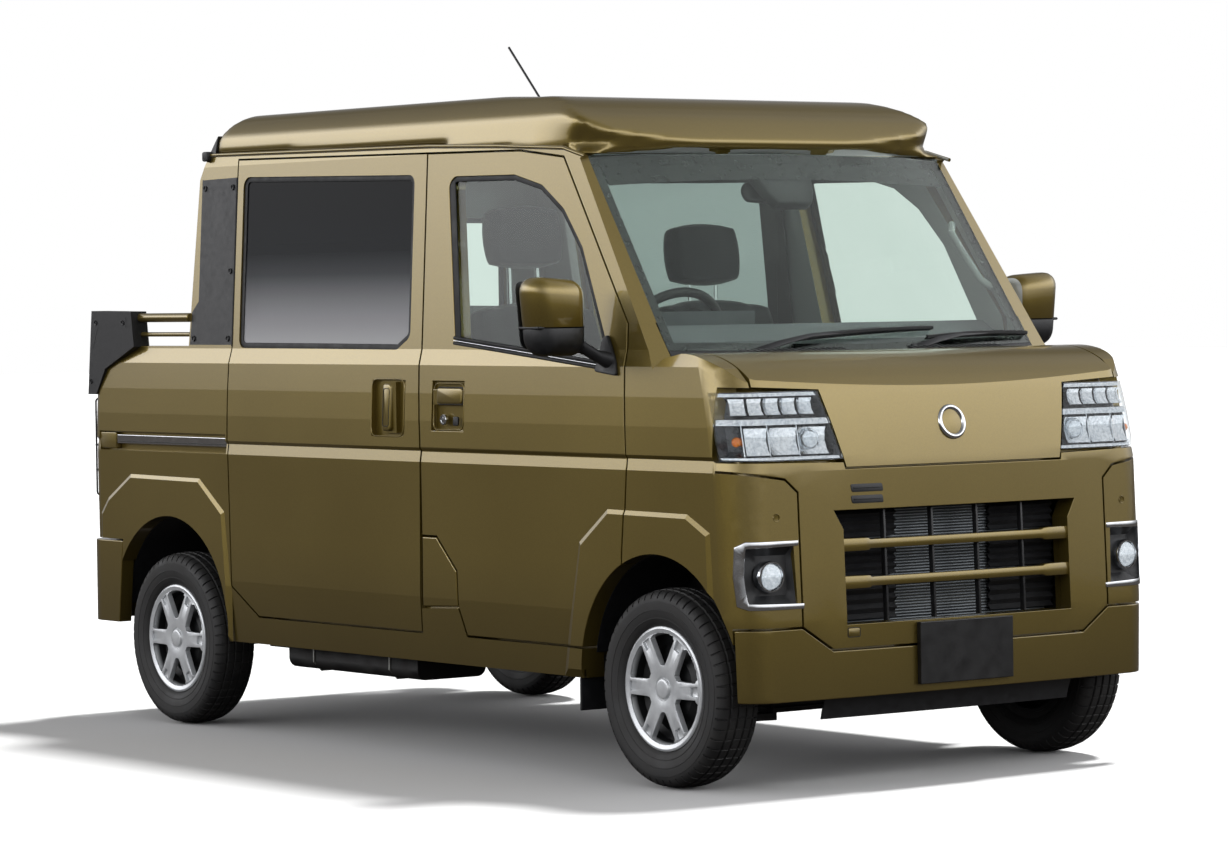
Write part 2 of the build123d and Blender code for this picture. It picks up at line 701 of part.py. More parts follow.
# axle x, arch centre z, arch radius
HOUSINGS = [
    (front_axle_x, front_arch_z, front_arch_radius),
    (rear_axle_x, rear_arch_z, rear_arch_radius),
]
with BuildPart() as right_housings:
    for axle_x, arch_z, arch_radius in HOUSINGS:
        with BuildSketch(Plane.XZ.offset(housing_inner_y)):
            with Locations((axle_x, arch_z)):
                Circle(arch_radius + housing_thickness)
                Circle(arch_radius, mode=Mode.SUBTRACT)
        extrude(amount=housing_outer_y - housing_inner_y)
        with BuildSketch(Plane.XZ.offset(housing_inner_y - housing_thickness)):
            with Locations((axle_x, arch_z)):
                Circle(arch_radius + housing_thickness)
        extrude(amount=housing_thickness)
    add(block_of((tail_x, -width, -100.0), (nose_x, 0, housing_foot_z)), mode=Mode.SUBTRACT)
    # the front foot ends above the bumper's corner
    add(
        block_of((front_axle_x + 150.0, -width, -100.0), (nose_x, 0, housing_foot_z + 18.0)),
        mode=Mode.SUBTRACT,
    )

with BuildPart() as strut_mount:
    with BuildSketch(kingpin_plane.offset(seal_gap)):
        Circle(strut_radius + 16.0)
    extrude(amount=80.0)
    add(
        side_cylinder(front_axle_x, front_arch_z, front_arch_radius + 2.0, housing_inner_y - 4.0, width),
        mode=Mode.INTERSECT,
    )

with BuildPart() as wheel_housings:
    add(right_housings.part)
    add(strut_mount.part)
    add(mirrored(right_housings.part))
    add(mirrored(strut_mount.part))

deck_z = 600.0
deck_front_x = 830.0
deck_rear_x = 200.0
rear_step_x = -780.0
rear_deck_z = 510.0
firewall_x = 1230.0
with BuildPart() as floor_pan:
    with BuildSketch(Plane.XZ):
        with BuildLine():
            Polyline(
                (rear_wall_inner_x, rear_deck_z),
                (rear_step_x + floor_thickness, rear_deck_z),
                (rear_step_x + floor_thickness, floor_z + floor_thickness),
                (deck_rear_x, floor_z + floor_thickness),
                (deck_rear_x, deck_z),
                (deck_front_x, deck_z),
                (deck_front_x, floor_z + floor_thickness),
                (firewall_x - floor_thickness, floor_z + floor_thickness),
                (firewall_x - floor_thickness, 1100.0),
                (firewall_x, 1100.0),
                (firewall_x, floor_z),
                (deck_front_x - floor_thickness, floor_z),
                (deck_front_x - floor_thickness, deck_z - floor_thickness),
                (deck_rear_x + floor_thickness, deck_z - floor_thickness),
                (deck_rear_x + floor_thickness, floor_z),
                (rear_step_x, floor_z),
                (rear_step_x, rear_deck_z - floor_thickness),
                (rear_wall_inner_x, rear_deck_z - floor_thickness),
                close=True,
            )
        make_face()
    extrude(amount=housing_outer_y, both=True)
    add(body_block(door_thickness + liner_thickness + 2.0, 60.0, 60.0), mode=Mode.INTERSECT)
    for room in (front_housing_room, rear_housing_room):
        add(room, mode=Mode.SUBTRACT)
        add(mirrored(room), mode=Mode.SUBTRACT)

frame_front_x = 1590.0
frame_kick_x = -785.0
rail_inner_y = frame_rail_y - frame_rail_width / 2
bumper_wall_gap = 12.0
with BuildPart() as chassis_frame:
    with BuildSketch(Plane.XZ.offset(rail_inner_y)):
        with BuildLine():
            Polyline(
                (frame_front_x, floor_z - frame_rail_height),
                (frame_kick_x - 20.0, floor_z - frame_rail_height),
                (frame_kick_x - 185.0, frame_rear_z - 20.0),
                (bed_rear_x, frame_rear_z - 20.0),
                (bed_rear_x, frame_rear_z + 60.0),
                (frame_kick_x - 165.0, frame_rear_z + 60.0),
                (frame_kick_x, floor_z),
                (frame_front_x, floor_z),
                close=True,
            )
        make_face()
    extrude(amount=frame_rail_width)
    mirror(about=Plane.XZ)
    for cross_x, cross_z, cross_height in [
        (1080.0, floor_z - 40.0, 40.0),
        (60.0, floor_z - 38.0, 38.0),
        (-735.0, floor_z - 38.0, 38.0),
        (-1610.0, frame_rear_z - 20.0, 80.0),
    ]:
        with Locations((cross_x, 0, cross_z + cross_height / 2)):
            Box(60.0, 2 * rail_inner_y + 2.0, cross_height)
    for post_x in (-1110.0, -1340.0, -1545.0):
        for side in (-1, 1):
            with Locations((post_x, side * frame_rail_y, (frame_rear_top_z + bed_floor_z - 30.0) / 2)):
                Box(50.0, 50.0, bed_floor_z - 30.0 - frame_rear_top_z)
    for side in (-1, 1):
        with Locations((bed_rear_x, side * frame_rail_y, frame_rear_z + 20.0)):
            Box(2 * bumper_wall_gap - 0.6, frame_rail_width + 30.0, 60.0)

bed_half = 676.0
gate_pin_radius = 9.0
rear_panel_top_z = tailgate_low_z - panel_gap
rear_panel_low_z = 568.0
deck_tail_x = bed_rear_x + tailgate_thickness + 5.0
with BuildPart() as bed_floor:
    add(
        block_of(
            (deck_tail_x, -bed_half, bed_floor_z - bed_floor_thickness),
            (cab_rear_x - 0.3, bed_half, bed_floor_z),
        )
    )
    add(side_core, mode=Mode.INTERSECT)
    add(
        block_of(
            (bed_rear_x + 6.0, -tailgate_half, rear_panel_low_z),
            (deck_tail_x + 14.0, tailgate_half, rear_panel_top_z),
        )
    )
    add(
        block_of(
            (deck_tail_x, -tailgate_half, rear_panel_low_z),
            (deck_tail_x + 14.0, tailgate_half, bed_floor_z - bed_floor_thickness),
        )
    )
    for lug_y in (-450.0, 0.0, 450.0):
        add(
            block_of(
                (bed_rear_x - 20.0, lug_y - 50.0, tailgate_low_z - 16.0),
                (bed_rear_x + 20.0, lug_y + 50.0, tailgate_low_z + 20.0),
            ),
            mode=Mode.SUBTRACT,
        )
    for rib in range(15):
        with Locations((-1333.0, -560.0 + 80.0 * rib, bed_floor_z + 2.0)):
            Box(460.0, 30.0, 4.0)
    for lug_y in (-450.0, 0.0, 450.0):
        with BuildSketch(Plane.XZ.offset(-lug_y - 30.0)):
            with Locations((bed_rear_x + 2.0, tailgate_low_z)):
                Circle(gate_pin_radius)
            with Locations((bed_rear_x + 8.0, tailgate_low_z - 11.0)):
                Rectangle(12.0, 22.0)
        extrude(amount=60.0)

gate_axis_x = bed_rear_x + 2.0
with BuildPart() as tailgate:
    add(
        block_of(
            (bed_rear_x, -tailgate_half, tailgate_low_z),
            (bed_rear_x + tailgate_thickness, tailgate_half, tailgate_top_z),
        )
    )
    add(
        block_of((bed_rear_x - 10.0, -110.0, 1035.0), (bed_rear_x + 14.0, 110.0, 1095.0)),
        mode=Mode.SUBTRACT,
    )
    add(block_of((bed_rear_x + 3.0, -80.0, 1052.0), (bed_rear_x + 20.0, 80.0, 1078.0)))
    for lug_y in (-450.0, 0.0, 450.0):
        with BuildSketch(Plane.XZ.offset(-lug_y - 31.0)):
            with Locations((gate_axis_x, tailgate_low_z)):
                Rectangle(26.0, 26.0)
        extrude(amount=62.0, mode=Mode.SUBTRACT)
        for side in (-1, 1):
            with BuildSketch(Plane.XZ.offset(-lug_y - 46.0 if side < 0 else -lug_y + 30.3)):
                with Locations((gate_axis_x, tailgate_low_z)):
                    Circle(gate_pin_radius)
            extrude(amount=15.7)

GUARD_END = [
    (guard_front_x, 1280.0), (guard_front_x + 16.0, bed_top_z - 2.0), (-1533.0, 1100.0), (-1590.0, 1019.0),
    (bed_rear_x, 1019.0), (guard_rear_x, 1283.0),
]
with BuildPart() as guard_end:
    with BuildSketch(Plane.XZ.offset(guard_y - 22.0)):
        with BuildLine():
            Polyline(*GUARD_END, close=True)
        make_face()
    extrude(amount=half_width - guard_y + 20.0)
    add(outer_block, mode=Mode.SUBTRACT)

with BuildPart() as bed_rails:
    for rail_z, rail_radius in [(guard_z, guard_tube_radius), (guard_z - 52.0, 7.0)]:
        with BuildSketch(Plane.YZ.offset(guard_front_x)):
            with Locations((-guard_y, rail_z), (guard_y, rail_z)):
                Circle(rail_radius)
        extrude(amount=cab_rear_x - 0.3 - guard_front_x)
    add(guard_end.part, mode=Mode.SUBTRACT)
    add(mirrored(guard_end.part), mode=Mode.SUBTRACT)

bumper_tail_x = tail_x + 7.5
with BuildPart() as rear_bumper:
    with BuildSketch(Plane.XY.offset(303.0)):
        with BuildLine():
            right_side = Line((-1300.0, -half_width + 2.0), (bumper_tail_x + 112.0, -half_width + 2.0))
            corner_right = RadiusArc(right_side @ 1, (bumper_tail_x + 22.0, -half_width + 92.0), 90.0)
            tail_bow = ThreePointArc(
                corner_right @ 1, (bumper_tail_x, 0), (bumper_tail_x + 22.0, half_width - 92.0)
            )
            corner_left = RadiusArc(tail_bow @ 1, (bumper_tail_x + 112.0, half_width - 2.0), 90.0)
            left_side = Line(corner_left @ 1, (-1300.0, half_width - 2.0))
            Line(left_side @ 1, right_side @ 0)
        make_face()
    extrude(amount=257.0)
    with BuildSketch(Plane.XY.offset(303.0)):
        with Locations(((bed_rear_x - bumper_wall_gap - 1300.0 + 100.0) / 2, 0)):
            RectangleRounded(
                abs(bed_rear_x - bumper_wall_gap + 1300.0) + 100.0, 2 * half_width - 94.0, 60.0
            )
    extrude(amount=257.0, mode=Mode.SUBTRACT)
    add(
        side_prism(REAR_BUMPER, -half_gap) + mirrored(side_prism(REAR_BUMPER, -half_gap)),
        mode=Mode.INTERSECT,
    )

# ================================================================ running gear
tyre_profile = [
    (-54.0, rim_radius), (54.0, rim_radius), (55.0, cover_radius + 1.0), (68.0, 190.0),
    (tyre_width / 2, 215.0), (tyre_width / 2, 226.0), (65.0, 256.0), (54.0, tyre_radius),
    (-54.0, tyre_radius), (-65.0, 256.0), (-tyre_width / 2, 226.0), (-tyre_width / 2, 215.0),
    (-68.0, 190.0), (-55.0, cover_radius + 1.0),
]
rim_profile = [
    (-54.0, rim_radius - 12.0), (-54.0, rim_radius), (54.0, rim_radius), (54.0, rim_radius - 12.0),
    (42.0, rim_radius - 12.0), (42.0, hub_bore_radius), (-10.0, hub_bore_radius), (-10.0, 46.0),
    (32.0, 46.0), (32.0, rim_radius - 12.0),
]
cover_profile = [
    (42.2, 0.0), (42.2, rim_radius - 14.0), (56.0, rim_radius - 10.0), (56.0, cover_radius),
    (60.0, cover_radius), (64.0, rim_radius - 4.0), (58.0, 62.0), (63.0, 44.0), (63.0, 0.0),
]
# one opening between two spokes: (distance from the axle, distance to the side)
SPOKE_OPENING = [
    (66.0, -8.0), (138.0, -48.0), (146.0, -24.0), (147.0, 0.0), (146.0, 24.0), (138.0, 48.0), (66.0, 8.0),
]
spoke_count = 6
# name, axle x, side
WHEELS = [
    ("front_right", front_axle_x, "right"), ("front_left", front_axle_x, "left"),
    ("rear_right", rear_axle_x, "right"), ("rear_left", rear_axle_x, "left"),
]
with BuildPart() as knuckle:
    with BuildSketch(kingpin_plane):
        Circle(strut_radius)
    extrude(amount=-260.0)
    with Locations((front_axle_x, -kingpin_foot_y, kingpin_foot_z)):
        Sphere(18.0)
    with BuildSketch(Plane.YZ.offset(front_axle_x - 20.0)):
        with BuildLine():
            Polyline(
                (-kingpin_foot_y - 12.0, kingpin_foot_z), (-kingpin_foot_y + 12.0, kingpin_foot_z),
                (-545.0, 230.0), (-520.0, 360.0), (-560.0, 368.0), (-596.0, 300.0), (-612.0, 230.0),
                close=True,
            )
        make_face()
    extrude(amount=40.0)
    with BuildSketch(Plane.XZ.offset(560.0)):
        with Locations((front_axle_x, hub_z)):
            Circle(42.0)
    extrude(amount=70.0)
    with BuildSketch(Plane.XZ.offset(560.0)):
        with Locations((front_axle_x, hub_z)):
            Circle(hub_bore_radius - running_fit)
    extrude(amount=wheel_y + 40.0 - 560.0)

with BuildPart() as front_suspension:
    add(
        block_of(
            (front_axle_x - 40.0, -rail_inner_y, 200.0),
            (front_axle_x + 40.0, rail_inner_y, floor_z - frame_rail_height),
        )
    )
    add(
        block_of(
            (front_axle_x - 70.0, -frame_rail_y - 35.0, 186.0),
            (front_axle_x + 70.0, frame_rail_y + 35.0, 200.0),
        )
    )
    add(
        block_of(
            (front_axle_x - 60.0, -frame_rail_y - 30.0, 200.0),
            (front_axle_x + 60.0, frame_rail_y + 30.0, floor_z - frame_rail_height),
        )
    )
    for side in (-1, 1):
        with BuildSketch(Plane.XY.offset(166.0)):
            with BuildLine():
                Polyline(
                    (front_axle_x - 70.0, side * 380.0), (front_axle_x + 70.0, side * 380.0),
                    (front_axle_x + 26.0, side * kingpin_foot_y),
                    (front_axle_x + 12.0, side * (kingpin_foot_y + 22.0)),
                    (front_axle_x - 12.0, side * (kingpin_foot_y + 22.0)),
                    (front_axle_x - 26.0, side * kingpin_foot_y),
                    close=True,
                )
            make_face()
        extrude(amount=20.0)
        with Locations((front_axle_x, side * kingpin_foot_y, kingpin_foot_z)):
            Sphere(18.0 + seal_gap, mode=Mode.SUBTRACT)
        with BuildSketch(Plane.XY.offset(kingpin_foot_z - 6.0)):
            with Locations((front_axle_x, side * kingpin_foot_y)):
                Circle(18.0 + 14.0)
        extrude(amount=60.0, mode=Mode.SUBTRACT)

axle_radius = 35.0
with BuildPart() as rear_axle:
    with BuildSketch(Plane.XZ.offset(-560.0)):
        with Locations((rear_axle_x, hub_z)):
            Circle(axle_radius)
    extrude(amount=1120.0)
    with Locations((rear_axle_x, 0, hub_z)):
        Sphere(105.0)
    for side in (-1, 1):
        with BuildSketch(Plane.XZ.offset(side * 560.0)):
            with Locations((rear_axle_x, hub_z)):
                Circle(60.0)
        extrude(amount=side * 60.0)
        with BuildSketch(Plane.XZ.offset(side * 560.0)):
            with Locations((rear_axle_x, hub_z)):
                Circle(hub_bore_radius - running_fit)
        extrude(amount=side * (wheel_y + 40.0 - 560.0))
        coil_top = frame_rear_z - 20.0
        for ring in range(6):
            with Locations((rear_axle_x, side * frame_rail_y, coil_top - 4.0 - ring * 20.0)):
                Cylinder(44.0, 8.0)
        with Locations((rear_axle_x, side * frame_rail_y, (coil_top + hub_z) / 2)):
            Cylinder(30.0, coil_top - hub_z)
        add(
            block_of(
                (rear_axle_x, min(side * 330.0, side * 370.0), 222.0),
                (frame_kick_x + 40.0, max(side * 330.0, side * 370.0), floor_z - frame_rail_height),
            )
        )

with BuildPart() as engine:
    add(block_of((260.0, -260.0, 215.0), (780.0, 260.0, deck_z - floor_thickness - 0.3)))
    add(block_of((120.0, -110.0, 215.0), (260.0, 110.0, 330.0)))

shaft_radius = 28.0
with BuildPart() as fuel_tank:
    add(block_of((-640.0, -640.0, 205.0), (40.0, -396.0, floor_z - 0.3)))
    fillet(fuel_tank.edges().filter_by(Axis.X), radius=30.0)

with BuildPart() as radiator:
    add(block_of((1548.0, -380.0, floor_z + 0.3), (1590.0, 380.0, 800.0)))

# ================================================================ cab interior
seat_width = 480.0
with BuildPart() as front_seats:
    for side, rest_top_z in ((-1, 1575.0), (1, 1520.0)):
        seat_y = side * 330.0
        with BuildSketch(Plane.XZ.offset(-seat_y - seat_width / 2)):
            with BuildLine():
                Polyline(
                    (830.0, 600.3), (838.0, 720.0), (800.0, 742.0), (400.0, 716.0), (215.0, 1275.0),
                    (165.0, 1310.0), (113.0, 1285.0), (270.0, 650.0), (300.0, 600.3), close=True,
                )
            make_face()
        extrude(amount=seat_width)
        with Locations((160.0, seat_y, rest_top_z - 95.0)):
            Box(90.0, 260.0, 190.0)
        for post in (-50.0, 50.0):
            with Locations((160.0, seat_y + post, rest_top_z - 220.0)):
                Cylinder(7.0, 160.0)

with BuildPart() as rear_seat:
    with BuildSketch(Plane.XZ.offset(-600.0)):
        with BuildLine():
            Polyline(
                (-330.0, floor_z + floor_thickness + 0.3), (-310.0, 640.0), (-350.0, 672.0), (-760.0, 640.0),
                (-880.0, 1150.0), (-930.0, 1180.0), (-980.0, 1150.0), (-900.0, rear_deck_z + 0.3),
                (rear_step_x + floor_thickness + 0.3, rear_deck_z + 0.3),
                (rear_step_x + floor_thickness + 0.3, floor_z + floor_thickness + 0.3), close=True,
            )
        make_face()
    extrude(amount=1200.0)
    for room in (rear_housing_room, mirrored(rear_housing_room)):
        add(room, mode=Mode.SUBTRACT)

column_foot = (1130.0, -330.0, 965.0)
column_tilt = radians(32.0)
column_up = (-cos(column_tilt), 0, sin(column_tilt))
column_plane = Plane(origin=column_foot, x_dir=(0, 1, 0), z_dir=column_up)
column_radius = 16.0
dash_half = 610.0
dash_rear_x = firewall_x - floor_thickness - 0.3
with BuildPart() as dashboard:
    with BuildSketch(Plane.XZ.offset(-dash_half)):
        with BuildLine():
            Polyline(
                (dash_rear_x, 1090.0), (1170.0, 1180.0), (1090.0, 1225.0), (950.0, 1215.0), (915.0, 1150.0),
                (900.0, 1090.0), (940.0, 900.0), (1040.0, 760.0), (dash_rear_x, 720.0),
                close=True,
            )
        make_face()
    extrude(amount=2 * dash_half)
    add(block_of((932.0, -520.0, 1190.0), (1060.0, -200.0, 1262.0)))
    with BuildSketch(column_plane):
        Circle(column_radius + running_fit)
    extrude(amount=400.0, mode=Mode.SUBTRACT)

wheel_rise = 400.0
with BuildPart() as steering_wheel:
    with BuildSketch(column_plane.offset(seal_gap)):
        Circle(column_radius)
    extrude(amount=wheel_rise)
    with BuildSketch(column_plane.offset(wheel_rise - 40.0)):
        Circle(60.0)
        Rectangle(360.0, 34.0)
        with Locations((0, -80.0)):
            Rectangle(34.0, 170.0)
    extrude(amount=18.0)
    with Locations(column_plane.offset(wheel_rise - 30.0)):
        Torus(182.0, 14.0)

# ================================================================ small outside pieces
mirror_outer_y = 955.0
mirror_inner_y = 768.0
with BuildPart() as door_mirror:
    with Locations((1000.0, -(mirror_outer_y + mirror_inner_y) / 2, 1268.0)):
        Box(96.0, mirror_outer_y - mirror_inner_y, 196.0)
    fillet(door_mirror.edges(), radius=26.0)
    with Locations((1052.0, -737.0, 1160.0)):
        Box(84.0, 50.0, 66.0)
    with Locations((1030.0, -772.0, 1176.0)):
        Box(46.0, 90.0, 42.0)
    add(outer_block, mode=Mode.SUBTRACT)

# each wiper in front view: outline of the arm and blade, then where its pivot stands
WIPERS = [
    ([(426.0, 1128.0), (408.0, 1128.0), (268.0, 1172.0), (-262.0, 1186.0), (-262.0, 1200.0), (20.0, 1214.0),
      (290.0, 1190.0)], (417.0, 1130.0)),
    ([(-120.0, 1124.0), (-138.0, 1124.0), (-190.0, 1168.0), (-646.0, 1196.0), (-646.0, 1208.0),
      (-430.0, 1208.0), (-180.0, 1184.0)], (-129.0, 1130.0)),
]
with BuildPart() as wipers:
    for outline, pivot in WIPERS:
        with BuildSketch(Plane.YZ):
            with BuildLine():
                Polyline(*[(-y, z) for y, z in outline], close=True)
            make_face()
        extrude(amount=length)
    add(screen_band(-13.0, -3.0, 120.0), mode=Mode.INTERSECT)
    for outline, pivot in WIPERS:
        with BuildSketch(Plane.XY.offset(1125.0)):
            with Locations((screen_foot_x + 8.0, -pivot[0])):
                Circle(13.0)
        extrude(amount=38.0)
    add(outer_block, mode=Mode.SUBTRACT)

antenna_foot = (-185.0, 0, roof_height)
lid_core = body_block(skin_thickness - seal_gap, skin_thickness - seal_gap, skin_thickness - seal_gap)
with BuildPart() as fuel_lid:
    add(outer_block - lid_core)
    add(side_prism(FUEL_LID, -half_gap), mode=Mode.INTERSECT)

with BuildPart() as side_body_right:
    add(side_body.part)
    add(outer_skin.intersect(side_prism(FUEL_LID, half_gap)), mode=Mode.SUBTRACT)

with BuildPart() as antenna:
    with Locations((antenna_foot[0], 0, roof_height + 8.0)):
        Cylinder(20.0, 16.6)
    with BuildSketch(Plane(origin=(antenna_foot[0], 0, roof_height + 6.0), z_dir=(-0.7, 0, 0.72))):
        Circle(3.5)
    extrude(amount=240.0)
    add(outer_block, mode=Mode.SUBTRACT)

exhaust_path = [
    (259.7, 200.0, 240.0), (-820.0, 200.0, 240.0), (-1010.0, 200.0, 372.0),
    (-1300.0, 200.0, 372.0), (-1420.0, 200.0, 330.0), (-1600.0, 200.0, 330.0),
]
with BuildPart() as exhaust:
    with BuildLine():
        FilletPolyline(*exhaust_path, radius=60.0)
    with BuildSketch(Plane(origin=exhaust_path[0], z_dir=(-1, 0, 0))):
        Circle(19.0)
    sweep()
    with Locations((-400.0, 200.0, 250.0)):
        Box(420.0, 190.0, 110.0)

with BuildPart() as number_plates:
    add(block_of((1660.0, -165.0, 270.0), (nose_x, 165.0, 435.0)))
    add(outer_block, mode=Mode.SUBTRACT)
    add(block_of((tail_x, -165.0, 350.0), (bumper_tail_x + 10.0, 165.0, 515.0)))
    add(rear_bumper.part, mode=Mode.SUBTRACT)

with BuildPart() as mud_flap:
    add(block_of((938.0, -728.0, 187.0), (945.0, -640.0, sill_z - seal_gap)))

with BuildPart() as driveline:
    add(engine.part)
    with BuildSketch(Plane.YZ.offset(125.0)):
        with Locations((0, hub_z)):
            Circle(shaft_radius)
    extrude(amount=rear_axle_x + 103.0 - 125.0)
    add(rear_axle.part, mode=Mode.SUBTRACT)

wheels = {}
for wheel_name, axle_x, side_name in WHEELS:
    with BuildPart() as wheel:
        add(wheel_turning(axle_x, wheel_y, cover_profile))
        for opening in range(spoke_count):
            angle = radians(30.0 + 360.0 / spoke_count * opening)
            with BuildSketch(Plane.XZ.offset(wheel_y + 42.2)):
                with BuildLine():
                    Polyline(
                        *[
                            (
                                axle_x + reach * cos(angle) - aside * sin(angle),
                                hub_z + reach * sin(angle) + aside * cos(angle),
                            )
                            for reach, aside in SPOKE_OPENING
                        ],
                        close=True,
                    )
                make_face()
            extrude(amount=30.0, mode=Mode.SUBTRACT)
        add(wheel_turning(axle_x, wheel_y, rim_profile))
    wheels[wheel_name] = wheel.part if side_name == "right" else mirrored(wheel.part)

# ================================================================ the finished pieces
# node, right-hand piece, and what the left side does: "none", "joined" to it, or a node of its own
PIECES = [
    ("front_door", front_door.part, "own"),
    ("front_door_glass", front_glass.part, "own"),
    ("mirror", door_mirror.part, "own"),
    ("knuckle", knuckle.part, "own"),
    ("slide_doors", slide_door.part, "joined"),
    ("slide_door_glass", slide_glass.part, "joined"),
    ("quarter_claddings", cladding.part, "joined"),
    ("slide_rails", slide_rail.part, "joined"),
    ("tail_lamps", tail_lamp.part, "joined"),
    ("head_lamps", head_lamp.part, "joined"),
    ("fog_lamps", fog_lamp.part, "joined"),
    ("fenders", fender.part, "joined"),
    ("guard_ends", guard_end.part, "joined"),
    ("mud_flaps", mud_flap.part, "joined"),
    ("side_body_right", side_body_right.part, "none"),
    ("side_body_left", mirrored(side_body.part), "none"),
    ("hood", hood.part, "none"),
    ("front_panel", front_panel.part, "none"),
    ("front_bumper", front_bumper.part, "none"),
    ("grille", grille.part, "none"),
    ("cowl", cowl.part, "none"),
    ("windscreen", windscreen.part, "none"),
    ("wipers", wipers.part, "none"),
    ("roof_panel", roof_panel.part, "none"),
    ("roof_rear_band", roof_rear_band.part, "none"),
    ("antenna", antenna.part, "none"),
    ("cab_rear_wall", cab_rear_wall.part, "none"),
    ("rear_glass", rear_glass.part, "none"),
    ("inner_frame", inner_frame.part, "none"),
    ("wheel_housings", wheel_housings.part, "none"),
    ("floor_pan", floor_pan.part, "none"),
    ("chassis_frame", chassis_frame.part, "none"),
    ("bed_floor", bed_floor.part, "none"),
    ("bed_rails", bed_rails.part, "none"),
    ("tailgate", tailgate.part, "none"),
    ("rear_bumper", rear_bumper.part, "none"),
    ("number_plates", number_plates.part, "none"),
    ("front_suspension", front_suspension.part, "none"),
    ("rear_axle", rear_axle.part, "none"),
    ("driveline", driveline.part, "none"),
    ("fuel_tank", fuel_tank.part, "none"),
    ("fuel_lid", fuel_lid.part, "none"),
    ("exhaust", exhaust.part, "none"),
    ("radiator", radiator.part, "none"),
    ("front_seats", front_seats.part, "none"),
    ("rear_seat", rear_seat.part, "none"),
    ("dashboard", dashboard.part, "none"),
    ("steering_wheel", steering_wheel.part, "none"),
]
for wheel_name, axle_x, side_name in WHEELS:
    PIECES.append((f"wheel_{wheel_name}", wheels[wheel_name], "none"))
    tyre = wheel_turning(axle_x, wheel_y, tyre_profile)
    PIECES.append((f"tyre_{wheel_name}", tyre if side_name == "right" else mirrored(tyre), "none"))

for name, piece, left_side in PIECES:
    finished = {name: [piece]}
    if left_side == "own":
        finished = {f"{name}_right": [piece], f"{name}_left": [mirrored(piece)]}
    elif left_side == "joined":
        finished = {name: [piece, mirrored(piece)]}
    for node, solids in finished.items():
        with BuildPart() as node_part:
            add(solids)
        node_part.part.label = node
        export_step(node_part.part, f"parts/{node}.step")
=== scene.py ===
"""Small four-door deck van, dressed for a plain studio.

Metres. +X is forward, +Y is the vehicle's left and +Z is up, as in the CAD frame.
"""
from math import atan2, cos, pi, radians, sin

import bpy
from mathutils import Matrix, Vector


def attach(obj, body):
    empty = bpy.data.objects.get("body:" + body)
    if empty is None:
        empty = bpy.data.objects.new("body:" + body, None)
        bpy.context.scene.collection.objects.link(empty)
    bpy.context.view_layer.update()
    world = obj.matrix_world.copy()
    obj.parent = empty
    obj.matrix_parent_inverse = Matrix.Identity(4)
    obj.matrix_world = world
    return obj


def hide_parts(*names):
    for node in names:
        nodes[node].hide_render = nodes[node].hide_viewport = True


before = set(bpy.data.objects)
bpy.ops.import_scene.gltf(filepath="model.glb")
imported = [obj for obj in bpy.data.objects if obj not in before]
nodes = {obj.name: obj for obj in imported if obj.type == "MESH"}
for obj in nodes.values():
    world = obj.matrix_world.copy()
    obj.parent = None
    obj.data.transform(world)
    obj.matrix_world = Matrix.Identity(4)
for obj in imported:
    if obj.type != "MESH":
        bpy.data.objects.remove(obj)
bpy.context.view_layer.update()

# ==== Camera
# A long lens stands low off the right front corner, so that both faces of the cab show with
# upright edges that hardly converge.
camera_place = Vector((10.2886, -7.7137, 1.3072))
camera_yaw = radians(142.78)
camera_pitch = radians(-1.48)
camera_roll = radians(-0.76)
sensor_width = 36.0
focal_pixels = 4317.55
frame_pixels = (1228, 860)
centre_pixels = (610.26, 408.10)
look = Vector(
    (cos(camera_pitch) * cos(camera_yaw), cos(camera_pitch) * sin(camera_yaw), sin(camera_pitch))
)
level_right = look.cross(Vector((0, 0, 1))).normalized()
level_up = level_right.cross(look)
camera_right = cos(camera_roll) * level_right + sin(camera_roll) * level_up
camera_up = -sin(camera_roll) * level_right + cos(camera_roll) * level_up
camera_data = bpy.data.cameras.new("studio_camera")
camera_data.sensor_width = sensor_width
camera_data.lens = focal_pixels / frame_pixels[0] * sensor_width
camera_data.shift_x = (frame_pixels[0] / 2 - centre_pixels[0]) / frame_pixels[0]
camera_data.shift_y = (centre_pixels[1] - frame_pixels[1] / 2) / frame_pixels[0]
camera_data.clip_end = 200.0
camera = bpy.data.objects.new("studio_camera", camera_data)
bpy.context.scene.collection.objects.link(camera)
camera.matrix_world = Matrix.Translation(camera_place) @ Matrix(
    (
        (camera_right.x, camera_up.x, -look.x),
        (camera_right.y, camera_up.y, -look.y),
        (camera_right.z, camera_up.z, -look.z),
    )
).to_4x4()
bpy.context.scene.camera = camera


# ==== Floor and light
# A white painted studio floor under a soft sky and one high key light. Most of the sky is dim at the
# horizon and brightest in a band above it, so upright panels stay deep and faces that lean back turn pale.
def linear(code):
    """An sRGB hex colour as linear RGBA."""
    values = [int(code[i : i + 2], 16) / 255 for i in (1, 3, 5)]
    return tuple(v / 12.92 if v <= 0.04045 else ((v + 0.055) / 1.055) ** 2.4 for v in values) + (1.0,)


def add_node(tree, kind, inputs=(), **settings):
    """Adds one node; each input is a plain value or the output that feeds it."""
    node = tree.nodes.new(kind)
    for name, value in settings.items():
        setattr(node, name, value)
    for socket, value in dict(inputs).items():
        if isinstance(value, bpy.types.NodeSocket):
            tree.links.new(value, node.inputs[socket])
        else:
            node.inputs[socket].default_value = value
    return node


